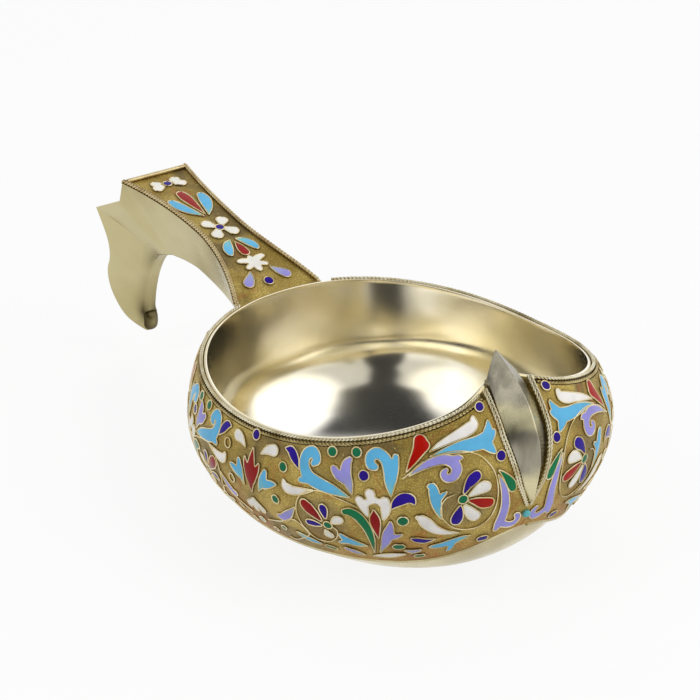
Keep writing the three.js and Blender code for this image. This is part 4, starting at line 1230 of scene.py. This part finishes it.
def bead_rings():
    rings = []
    turn = full_turn(BEAD_SIDES)
    out = BAND_OUT + BEAD_DROP_RADIUS * BEAD_DEPTH * BEAD_PROUD
    seat_place = on_bowl(0.0, WEDGE_FOOT_HEIGHT - BEAD_BELOW_FOOT * BEAD_RADIUS, out)
    for tilt in np.linspace(0, np.pi, BEAD_ROWS)[1:-1]:
        ring = np.stack([np.full(BEAD_SIDES, BEAD_DEPTH * math.cos(tilt)), np.cos(turn) * math.sin(tilt),
                         np.sin(turn) * math.sin(tilt) * BEAD_HEIGHT], axis=-1)
        rings.append(seat_place + BEAD_DROP_RADIUS * ring)
    return rings


bead_enamel = enamel_material("bead_enamel", "#5fb0b4", "#3f8f95", 0.4)
seat(new_piece("bead", *lofted(bead_rings()), bead_enamel, smooth_angle=80), "turquoise_enamel", "prow_bead")

# The handle. A hollow box of sheet silver, gilded: an arched top plate that swells at both
# ends, an end plate with a spur, a hooked back, sides that lean in, and a narrow strip below.
HANDLE_TOP_HEIGHT = 40.5
PANEL_LENGTH = 42.3
ROOT_OVERHANG = 2.6
ROOT_DROP = 1.5
WAIST_HALF_WIDTH = 5.1
FAR_HALF_WIDTH = 7.7
KEEL_HALF_WIDTH = 1.7
HOOK_DROP = 34.6
SPUR_REACH = 10.1
HOOK_TIP_HALF_WIDTH = 2.1
HOOK_TIP_PINCH = 0.5
TAPERS_FROM_SHARE = 0.8
KEEL_NARROWED = 0.4
KEEL_TIP_GAIN = 0.3
HANDLE_SHEET = 0.8
HANDLE_WALL = 1.0
PANEL_BEND = 0.73
PANEL_RISE = 0.69
WAIST_PLACE = 0.54
ROOT_FLARE = 1.8
HOOK_TAPER = 1.2
CORNER = (0.12, 0.123)
HOOK_BACK = [(1.0, 0.249), (0.77, 0.373), (0.73, 0.46), (0.8, 0.552), (0.99, 0.65),
             (1.05, 0.743), (1.01, 0.824), (0.88, 0.899), (0.66, 0.963), (0.25, 1.0)]
HOOK_INNER = [(-0.36, 0.454), (-0.165, 0.509), (-0.03, 0.572), (0.085, 0.639), (0.165, 0.708),
              (0.215, 0.766), (0.24, 0.809), (0.255, 0.838), (0.265, 0.861), (0.27, 0.884)]
UNDERSIDE = [(1.0, 0.79), (0.853, 0.616), (0.683, 0.478), (0.461, 0.4), (0.333, 0.39), (0.2, 0.405)]
PANEL_STATIONS = 120
HOOK_STATIONS = 90
PLATE_LEAST_HALF = 0.2
EDGE_ROUND = 0.5
TIP_EDGE_ROUND = 0.95
KEEL_ROUND = 0.35
TIP_BULGE = 1.1
TIP_SQUARENESS = 0.85
TIP_BOX = 0.45
TIP_SUNK = 0.6
TIP_INSET = 0.97
TIP_SIDES = 48
TIP_RINGS = 11
TIP_EDGE_DARK = 0.95
TIP_MIDDLE_DARK = 0.45
NARROWS_WITHIN = 0.25
PLATE_COLUMNS = 9
PLATE_LAP = 0.05
EDGE_POINTS = 6
SIDE_POINTS = 9
INNER_POINTS = 6
END_STATIONS = 10
CORNER_STATIONS = 12
ROOT_SUNK = 0.6
ROOT_FIRST_RADIUS = 36
NOOK_REACH = 2.6
NOOK_FADE = 1.5
NOOK_INSET = 0.5
# How dark the nook is along the hook, tarnish and painted shade, as shares of its length and depths there.
NOOK_DEPTHS = ((0, 0.12, 0.3, 0.6, 0.8, 0.93, 1), (0.5, 0.45, 0.12, 0.3, 0.75, 1, 0.8))

root_end = np.array([-RIM_HALF_LENGTH - ROOT_OVERHANG, rim_height(np.pi) - ROOT_DROP])
far_end = np.array([root_end[0] - PANEL_LENGTH, HANDLE_TOP_HEIGHT])
panel_bend = np.array([far_end[0] + (root_end[0] - far_end[0]) * PANEL_BEND,
                       root_end[1] + (far_end[1] - root_end[1]) * PANEL_RISE])


def on_line(shares):
    shares = np.asarray(shares, float)[..., None]
    return (1 - shares) ** 2 * root_end + 2 * shares * (1 - shares) * panel_bend + shares ** 2 * far_end


def half_width_at(x):
    waist = far_end[0] + (root_end[0] - far_end[0]) * WAIST_PLACE
    widening = np.clip((waist - x) / (waist - far_end[0]), 0, 1) ** 2
    flare = np.clip((x - waist) / (root_end[0] - waist), 0, 1) ** ROOT_FLARE
    return (WAIST_HALF_WIDTH + (FAR_HALF_WIDTH - WAIST_HALF_WIDTH) * widening
            + (HANDLE_ROOT_HALF_WIDTH - WAIST_HALF_WIDTH) * flare)


def hook_point(back, down):
    return np.array([far_end[0] - back * SPUR_REACH, far_end[1] - down * HOOK_DROP])


def stations_of(outer, inner, half, keel):
    """Rows of a section's outer x and z, inner x and z, half width and keel half width."""
    return np.column_stack([outer, inner, half, keel])


def panel_stations():
    shares = np.linspace(0, 1, PANEL_STATIONS)
    under = [(far_end[0] + ahead * PANEL_LENGTH, far_end[1] - down * HOOK_DROP) for ahead, down in UNDERSIDE]
    outer = on_line(shares)
    keel = np.full(PANEL_STATIONS, KEEL_HALF_WIDTH)
    return stations_of(outer, spline_at(under, shares), half_width_at(outer[:, 0]), keel)


def toward_tip(shares):
    return np.clip((shares - TAPERS_FROM_SHARE) / (1 - TAPERS_FROM_SHARE), 0, 1)


def hook_stations():
    shares = np.linspace(0, 1, HOOK_STATIONS)
    half = FAR_HALF_WIDTH + (HOOK_TIP_HALF_WIDTH - FAR_HALF_WIDTH) * shares ** HOOK_TAPER
    half -= HOOK_TIP_PINCH * toward_tip(shares) ** 2
    keel = KEEL_HALF_WIDTH - KEEL_NARROWED * (1 - np.clip(1 - shares / NARROWS_WITHIN, 0, 1) ** 2)
    keel += KEEL_TIP_GAIN * toward_tip(shares) ** 2
    return stations_of(spline_at([hook_point(*at) for at in HOOK_BACK], shares),
                       spline_at([hook_point(*at) for at in HOOK_INNER], shares), half, keel)


def blended(first, last, count):
    shares = np.linspace(0, 1, count)[:, None]
    return first + (last - first) * shares


along_panel, along_hook = panel_stations(), hook_stations()
corner_inner = (along_panel[-1][2:4] + along_hook[0][2:4]) / 2
corner = np.array([*hook_point(*CORNER), *corner_inner, FAR_HALF_WIDTH, KEEL_HALF_WIDTH])
along_end = np.vstack([blended(along_panel[-1], corner, END_STATIONS),
                       blended(corner, along_hook[0], CORNER_STATIONS)[1:]])
whole_handle = np.vstack([along_panel, along_end[1:-1], along_hook])


def reach_of(stations):
    """How deep each section is, from its outer line to its inner one."""
    return np.linalg.norm(stations[:, 2:4] - stations[:, :2], axis=1)


def section_points(stations, depth, off):
    """Points at a depth in from the outer line and at a share of the half width there."""
    outer, inner = stations[:, :2], stations[:, 2:4]
    reach = reach_of(stations)
    depth = np.broadcast_to(depth, reach.shape)
    place = outer + (inner - outer) * (depth / reach)[:, None]
    half = stations[:, 4] + (stations[:, 5] - stations[:, 4]) * depth / reach
    return np.column_stack([place[:, 0], off(half), place[:, 1]])


def into_bowl(ring):
    """The same ring of points, pushed along the handle to just under the bowl's face."""
    ring = np.array(ring)
    theta = np.pi - np.arcsin(np.clip(ring[:, 1] / ROOT_FIRST_RADIUS, -1, 1))
    for _ in range(4):
        radius = bowl_radius(theta, np.minimum(ring[:, 2], rim_height(theta))) - ROOT_SUNK
        theta = np.pi - np.arcsin(np.clip(ring[:, 1] / radius, -1, 1))
    ring[:, 0] = radius * np.cos(theta)
    return ring


def handle_strip(stations, near, far, columns, rooted, inset=0.0):
    """A plate of the handle, across it from side to side, between two depths."""
    spread = np.linspace(1, -1, columns)

    def off(share):
        return lambda half: share * (half - np.minimum(inset, half - PLATE_LEAST_HALF))

    sides = [section_points(stations, near, off(share)) for share in spread]
    sides += [section_points(stations, far, off(share)) for share in spread[::-1]]
    rings = list(np.stack(sides, axis=1))
    if rooted:
        rings.insert(0, into_bowl(rings[0]))
    return lofted(rings, fan_start=False, fan_end=False, chain=columns)


def handle_side(sign):
    """One wall. Its edges are rounded over, but for the one under the top plate."""
    reach = reach_of(whole_handle)
    past_panel = np.arange(len(reach)) >= PANEL_STATIONS
    near = np.where(past_panel, 0.0, HANDLE_SHEET)
    rounder = toward_tip(np.linspace(0, 1, HOOK_STATIONS)) * (TIP_EDGE_ROUND - EDGE_ROUND)
    round_near = np.where(past_panel, EDGE_ROUND, 0.0)
    round_near[-HOOK_STATIONS:] += rounder
    arc = np.linspace(0, np.pi / 2, EDGE_POINTS)
    columns = [(near + round_near * (1 - math.cos(turn)), round_near * (1 - math.sin(turn))) for turn in arc]
    columns += [(near + round_near + (reach - near - round_near - KEEL_ROUND) * share, 0 * near)
                for share in 1 - np.linspace(1, 0, SIDE_POINTS)[1:-1] ** 2]
    columns += [(reach - KEEL_ROUND * (1 - math.sin(turn)), KEEL_ROUND * (1 - math.cos(turn)) + 0 * near)
                for turn in arc]
    outer = [section_points(whole_handle, depth, lambda half, drop=drop: sign * (half - drop))
             for depth, drop in columns]
    inner = [section_points(whole_handle, near + (reach - near) * share,
                            lambda half: sign * (half - np.minimum(HANDLE_WALL, half - TRIM_GAP)))
             for share in np.linspace(1, 0, INNER_POINTS)]
    rings = list(np.stack(outer + inner, axis=1))
    return lofted([into_bowl(rings[0])] + rings, fan_start=False, fan_end=False, chain=len(outer))


def nook_tarnish_and_shade(piece):
    """Marks the hook's inner edge dark, most of all near its tip: tarnish, and painted shade of the hollow
    end.
    """
    seam, depth_there = [], []
    for sign in SIDES.values():
        deep_in = reach_of(along_hook) - NOOK_INSET
        seam += list(section_points(along_hook, deep_in, lambda half: sign * half))
        depth_there += list(np.interp(np.linspace(0, 1, HOOK_STATIONS), *NOOK_DEPTHS))
    nearest = nearest_to(seam)
    dark = []
    for vertex in piece.data.vertices:
        spot, index, away = nearest.find(vertex.co / MILLIMETRE)
        dark.append(max(0.0, 1 - away / NOOK_REACH) ** NOOK_FADE * depth_there[index])
    paint(piece, "nook", dark)


def hook_tip():
    """The rounded nose that closes the hook's end, worn dark and painted with the shade of a hollow end,
    darkest round its edge.
    """
    outer_x, outer_z, inner_x, inner_z, half, keel = along_hook[-1]
    middle = np.array([(outer_x + inner_x) / 2, 0, (outer_z + inner_z) / 2])
    up = np.array([inner_x - outer_x, 0, inner_z - outer_z]) / 2
    ahead = np.array([up[2], 0, -up[0]]) / np.linalg.norm(up)
    turn = full_turn(TIP_SIDES)
    tilts = np.linspace(0, np.pi / 2, TIP_RINGS + 1)[:-1]

    def section(rounded):
        """The outline: boxy on the inner side where it meets the strip, round at the end."""
        power = np.where(np.cos(turn) > 0, TIP_BOX + (TIP_SQUARENESS - TIP_BOX) * rounded, TIP_SQUARENESS)
        high = np.sign(np.cos(turn)) * np.abs(np.cos(turn)) ** power
        wide = np.sign(np.sin(turn)) * np.abs(np.sin(turn)) ** power
        across = wide * (half + (keel - half) * (1 + high) / 2)
        return high[:, None] * up + across[:, None] * np.array([0, 1, 0])

    rings = [middle - TIP_SUNK * ahead + section(0) * TIP_INSET]
    rings += [middle + section(math.sin(tilt) ** 2) * math.cos(tilt)
              + ahead * TIP_BULGE * math.sin(tilt) for tilt in tilts]
    piece = new_piece("hook_tip", *lofted(rings), satin_gilt, smooth_angle=60)
    # Wear and painted shade of a hollow end: darkest round the edge, less in the middle.
    dark = [TIP_EDGE_DARK] + [TIP_MIDDLE_DARK + (TIP_EDGE_DARK - TIP_MIDDLE_DARK) * math.cos(tilt)
                              for tilt in tilts]
    fan_middles = [TIP_MIDDLE_DARK] * 2
    paint(piece, "nook", [*np.repeat(dark, TIP_SIDES), *fan_middles])
    return piece


# The nook colour is tarnish and painted shade, on the hook's inner edge and its tip.
satin_gilt = metal("satin_gilt", "#c5ba8e", "#b3a678", "#7d7048", 0.24, 0.36, scratch_depth=0.003,
                   tarnish=0.35, smudge_scale=45.0, nook="#352b12")
reach = reach_of(whole_handle)
for name, node, stations, near, far, rooted in (
        ("end_plate", "handle_end_plate", along_end, 0.0, HANDLE_SHEET, False),
        ("hook_back", "handle_back_plate", along_hook, 0.0, HANDLE_SHEET, False),
        ("under_strip", "handle_keel_strip", whole_handle, reach - HANDLE_SHEET, reach, True)):
    shape = handle_strip(stations, near, far, PLATE_COLUMNS, rooted, HANDLE_WALL - PLATE_LAP)
    plate = new_piece(name, *shape, satin_gilt)
    if name == "under_strip":
        nook_tarnish_and_shade(plate)
    seat(plate, "gilt_silver", node)
for side, sign in SIDES.items():
    wall = new_piece(f"handle_wall_{side}", *handle_side(sign), satin_gilt)
    # Tarnish and painted shade on the wall's inner edge near the hook.
    nook_tarnish_and_shade(wall)
    seat(wall, "gilt_silver", f"handle_side_{side}")
seat(hook_tip(), "gilt_silver")

# The enamelled panel on the handle's top plate: a bud, a tulip, a flower, a sprig and drops
# between twisted wires, on the same stippled ground.
PANEL_OUT = 0.0
TOP_PLATE_COLUMNS = 33
FACES_UP_FROM = 0.4
PANEL_MIDDLE = [
    ("bud_eye", "cobalt", [(-75.3, 0, .95)]),
    ("tulip_heart", "dark_red", [(-61.8, 0, 0), (-65.3, 0, .7), (-68.7, 0, 1.15), (-70.5, 0, .95)]),
    ("flower_eye", "cobalt", [(-56.9, 0, .95)]),
    ("sprig_heart", "dark_red", [(-51.8, 0, 0), (-49.8, 0, .85), (-48.3, 0, .95)]),
    ("palmette", "white", [(-46.5, 0, .6), (-45.2, 0, .95), (-43.4, 0, .6)],
     [(-45.4, .2, .6), (-46.1, 1.6, .7), (-46.3, 2.7, .45)],
     [(-45.4, -.2, .6), (-46.1, -1.6, .7), (-46.3, -2.7, .45)],
     [(-45, .3, .6), (-44.2, 2, .5)], [(-45, -.3, .6), (-44.2, -2, .5)]),
    ("panel_dot", "cobalt", [(-40.3, 0, 1)]),
]
PANEL_HALF = [
    ("bud_white", "white", [(-76, 1.8, .8), (-76.1, 2.3, .95)], [(-74.7, 1.9, .8), (-74.4, 2.7, 1.05)]),
    ("tulip_leaf", "turquoise", [(-61.4, .5, 0), (-63.8, 1.9, .85), (-66.5, 3, 1.2), (-68.5, 3.4, .85)]),
    ("panel_flower", "white", [(-57.9, 1.1, .7), (-58.7, 1.7, 1.25)]),
    ("panel_flower", "white", [(-55.9, 1.1, .7), (-55, 1.8, 1.25)]),
    ("sprig_leaf", "turquoise", [(-52.6, .5, 0), (-51.5, 1.8, .8), (-49.9, 2.7, .95), (-48.8, 3, .6)]),
    ("drop_lavender", "lavender", [(-43.3, 2.2, 0), (-41.9, 3.2, .75), (-40.8, 4.3, 1.05)]),
]


def panel_share(x):
    """The share of the top plate's curve at which it stands over x."""
    a = root_end[0] - 2 * panel_bend[0] + far_end[0]
    b = 2 * (panel_bend[0] - root_end[0])
    return (-b - np.sqrt(b ** 2 - 4 * a * (root_end[0] - x))) / (2 * a)


def on_panel(x, y, out):
    """Points over the handle's top plate."""
    x, y, out = np.broadcast_arrays(np.asarray(x, float), np.asarray(y, float), out)
    shares = panel_share(x)
    place = on_line(shares)
    slope = (2 * (1 - shares[..., None]) * (panel_bend - root_end)
             + 2 * shares[..., None] * (far_end - panel_bend))
    slope /= np.linalg.norm(slope, axis=-1, keepdims=True)
    return np.stack([place[..., 0] + slope[..., 1] * out, y, place[..., 1] - slope[..., 0] * out], axis=-1)


def mirrored(cell):
    return (cell[0], cell[1], *[[(x, -y, half) for x, y, half in blade] for blade in cell[2:]])


panel_cells = [(name + "_port", *rest) for name, *rest in PANEL_HALF]
panel_cells += [(name + "_starboard", *rest) for name, *rest in map(mirrored, PANEL_HALF)]
panel_drawing = [(name, tone, flat_cell(blades, on_panel))
                 for name, tone, *blades in PANEL_MIDDLE + panel_cells]
top_plate = new_piece("top_plate", *handle_strip(along_panel, 0.0, HANDLE_SHEET, TOP_PLATE_COLUMNS, True),
                      stippled_ground, satin_gilt)
for face in top_plate.data.polygons:
    face.material_index = int(face.normal.z <= FACES_UP_FROM)
# The panel's ground too: old polish and painted shade along its wires.
paint_grime_and_shade(top_plate, panel_drawing, on_panel, PANEL_OUT)
seat(top_plate, "gilt_ground", "handle_top_plate")

paths = [(on_panel(*loop.T, PANEL_OUT + CELL_WIRE_OUT - BAND_OUT), True)
         for name, tone, cell in panel_drawing for loop in cell["loops"]]
seat(draw_wires("cell_walls_handle", paths, cell_wire, CELL_WIRE_RADIUS, CELL_WIRE_STEP), "twisted_wire")
PANEL_NODES = {name: name for name in ("tulip_heart", "sprig_heart", "panel_dot")}
PANEL_NODES["panel_flower_port"] = "panel_flower"
for label in ("bud_white", "tulip_leaf", "sprig_leaf", "drop_lavender"):
    for side in SIDES:
        PANEL_NODES[f"{label}_{side}"] = f"{label}_{side}"
batches = {}
for name, tone, cell in panel_drawing:
    label = name if name in PANEL_NODES else f"small_panel_cells_{tone}"
    if name == "panel_flower_starboard":
        label = "panel_flower_port"
    batches.setdefault((label, tone), []).append(cell)
for (label, tone), cells in batches.items():
    piece = fill_cells(f"{label}_enamel", cells, on_panel, PANEL_OUT, enamel[tone])
    seat(piece, ENAMELS[tone][3], *([PANEL_NODES[label]] if label in PANEL_NODES else []))

# The handle's own wires. A stout twisted wire follows each edge of the panel from the bowl
# to the end, and a plain wire closes it across the end.
HANDLE_ROPE_RADIUS = 0.44
HANDLE_ROPE_SEAT = 0.85
HANDLE_ROPE_START = -0.05
HANDLE_ROPE_POINTS = 160
END_WIRE_POINTS = 12
END_WIRE_STEP = 0.8

aged_gilt = metal("aged_wire_gilt", "#cdbb8e", "#b59c70", "#6b5230", 0.26, 0.4, tarnish=0.6,
                  smudge_scale=300.0)
line = on_line(np.linspace(HANDLE_ROPE_START, 1, HANDLE_ROPE_POINTS))
for side, sign in SIDES.items():
    edge = sign * (half_width_at(line[:, 0]) - HANDLE_ROPE_RADIUS)
    path = on_panel(line[:, 0], edge, HANDLE_ROPE_RADIUS * HANDLE_ROPE_SEAT)
    seat(twisted(f"handle_rope_{side}_twist", path, HANDLE_ROPE_RADIUS, sign, aged_gilt), "twisted_wire",
         f"handle_rope_{side}")
reach_y = FAR_HALF_WIDTH - 2 * HANDLE_ROPE_RADIUS - TRIM_GAP
end_x = on_line(1 - HANDLE_ROPE_RADIUS / PANEL_LENGTH)[0]
path = on_panel(end_x, np.linspace(-reach_y, reach_y, END_WIRE_POINTS), HANDLE_ROPE_RADIUS * HANDLE_ROPE_SEAT)
end_wire = draw_wires("end_wire_drawn", [(path, False)], aged_gilt, HANDLE_ROPE_RADIUS, END_WIRE_STEP)
seat(end_wire, "twisted_wire", "handle_end_wire")

# The photographer's table. A white sheet under the kovsh, which keeps its soft shadow, and
# white all round.
FLOOR_HALF = 2.0
PAPER_GLOW = 0.88
LAMPS = (("key_softbox", (0.37, 0.21, 0.42), 0.45, 1.7),
         ("left_softbox", (-0.07, -0.42, 0.42), 0.3, 0.9),
         ("back_softbox", (-0.4, 0.3, 0.5), 0.4, 0.8))
CAMERA_PLACE = (478.25, -352.25, 310.91)
CAMERA_RIGHT = (0.5821, 0.8131, 0.0)
CAMERA_UP = (-0.3449, 0.2469, 0.9056)
CAMERA_BACK = (0.7363, -0.5272, 0.4242)
CAMERA_LENS = 185.6
CAMERA_SENSOR = 36.0

mesh = bpy.data.meshes.new("table")
mesh.from_pydata([(-FLOOR_HALF, -FLOOR_HALF, 0), (FLOOR_HALF, -FLOOR_HALF, 0),
                  (FLOOR_HALF, FLOOR_HALF, 0), (-FLOOR_HALF, FLOOR_HALF, 0)], [], [(0, 1, 2, 3)])
table = bpy.data.objects.new("table", mesh)
bpy.context.scene.collection.objects.link(table)
paper, tree, shader = bare_material("white_paper", Roughness=0.9)
shader.inputs["Base Color"].default_value = (0.8, 0.8, 0.8, 1)
light_path = put(tree, "ShaderNodeLightPath")
seen = reckon(tree, "MAXIMUM", light_path.outputs["Is Camera Ray"], light_path.outputs["Is Glossy Ray"])
seen = reckon(tree, "MAXIMUM", seen, light_path.outputs["Is Transmission Ray"])
glow = put(tree, "ShaderNodeEmission", {"Color": (1, 1, 1, 1), "Strength": 1.0})
share = times(tree, seen, PAPER_GLOW)
both = put(tree, "ShaderNodeMixShader", {0: share, 1: shader.outputs[0], 2: glow.outputs[0]})
tree.links.new(both.outputs[0], tree.nodes["Material Output"].inputs["Surface"])
mesh.materials.append(paper)

world = bpy.data.worlds.new("white_room")
bpy.context.scene.world = world
world.use_nodes = True
tree = world.node_tree
room = tree.nodes["Background"]
# Polished metal sees pale walls, three broad bright panels, and the dark shape of whoever
# stands at the camera: wide below, narrow at the neck, wide again overhead.
ROOM_LEVEL = 0.7
LOW_WALLS_BRIGHTER = 0.4
SOFT_LEVEL = 0.48
BRIGHT_PANELS = ((1.1, 46, 44, 17, 34), (0.9, -92, 44, 12, 28), (0.6, 143, 45, 12, 28))
FIGURE_WAY = (0.81, -0.59)
FIGURE_HALF_WIDTH = 0.17
FIGURE_WIDER_OVERHEAD = 0.23
FIGURE_WIDER_BELOW = 0.12
FIGURE_WAVERS = 0.16
FIGURE_DEPTH = 0.93

place = put(tree, "ShaderNodeTexCoord").outputs["Generated"]
wobble = put(tree, "ShaderNodeTexNoise", {"Vector": place, "Scale": 2.5, "Detail": 2.0}).outputs["Fac"]
parts = put(tree, "ShaderNodeSeparateXYZ", {0: place}).outputs
way_x, way_y = FIGURE_WAY
toward = plus(tree, times(tree, parts[0], way_x), times(tree, parts[1], way_y))
aside = reckon(tree, "ABSOLUTE", plus(tree, times(tree, parts[0], -way_y), times(tree, parts[1], way_x)))
aside = plus(tree, aside, times(tree, minus(tree, wobble, 0.5), FIGURE_WAVERS))
half = plus(tree, FIGURE_HALF_WIDTH, eased(tree, toward, 0.62, 0.42, 0.0, FIGURE_WIDER_OVERHEAD))
half = plus(tree, half, eased(tree, toward, 0.8, 0.97, 0.0, FIGURE_WIDER_BELOW))
figure = eased(tree, minus(tree, aside, half), -0.05, 0.05, 1.0, 0.0)
figure = times(tree, figure, eased(tree, toward, -0.34, -0.2))
figure = times(tree, figure, eased(tree, parts[2], -0.02, 0.08))
level = plus(tree, ROOM_LEVEL, eased(tree, parts[2], 0.45, 0.2, 0.0, LOW_WALLS_BRIGHTER))
for bright, azimuth, height, near, far in BRIGHT_PANELS:
    azimuth, height = math.radians(azimuth), math.radians(height)
    way = (math.cos(height) * math.cos(azimuth), math.cos(height) * math.sin(azimuth), math.sin(height))
    facing = put(tree, "ShaderNodeVectorMath", {0: place, 1: way}, operation="DOT_PRODUCT").outputs["Value"]
    panel = eased(tree, facing, math.cos(math.radians(far)), math.cos(math.radians(near)), 0.0, bright)
    level = plus(tree, level, panel)
level = times(tree, level, minus(tree, 1.0, times(tree, figure, FIGURE_DEPTH)))
light_path = put(tree, "ShaderNodeLightPath")
glossy = light_path.outputs["Is Glossy Ray"]
level = plus(tree, times(tree, glossy, level), times(tree, minus(tree, 1.0, glossy), SOFT_LEVEL))
level = reckon(tree, "MAXIMUM", level, light_path.outputs["Is Camera Ray"])
tree.links.new(level, room.inputs["Color"])
room.inputs["Strength"].default_value = 1.0

for name, place, size, power in LAMPS:
    lamp = bpy.data.lights.new(name, "AREA")
    lamp.shape = "RECTANGLE"
    lamp.size = lamp.size_y = size
    lamp.energy = power
    light = bpy.data.objects.new(name, lamp)
    light.location = place
    light.rotation_euler = (-Vector(place)).to_track_quat("-Z", "Y").to_euler()
    light.visible_glossy = False
    bpy.context.scene.collection.objects.link(light)

lens = bpy.data.cameras.new("photo_camera")
lens.lens = CAMERA_LENS
lens.sensor_width = CAMERA_SENSOR
lens.clip_start = 0.01
camera = bpy.data.objects.new("photo_camera", lens)
axes = Matrix((CAMERA_RIGHT, CAMERA_UP, CAMERA_BACK)).transposed().to_4x4()
camera.matrix_world = Matrix.Translation(Vector(CAMERA_PLACE) * MILLIMETRE) @ axes
bpy.context.scene.collection.objects.link(camera)
bpy.context.scene.camera = camera
bpy.context.scene.view_settings.view_transform = "Standard"
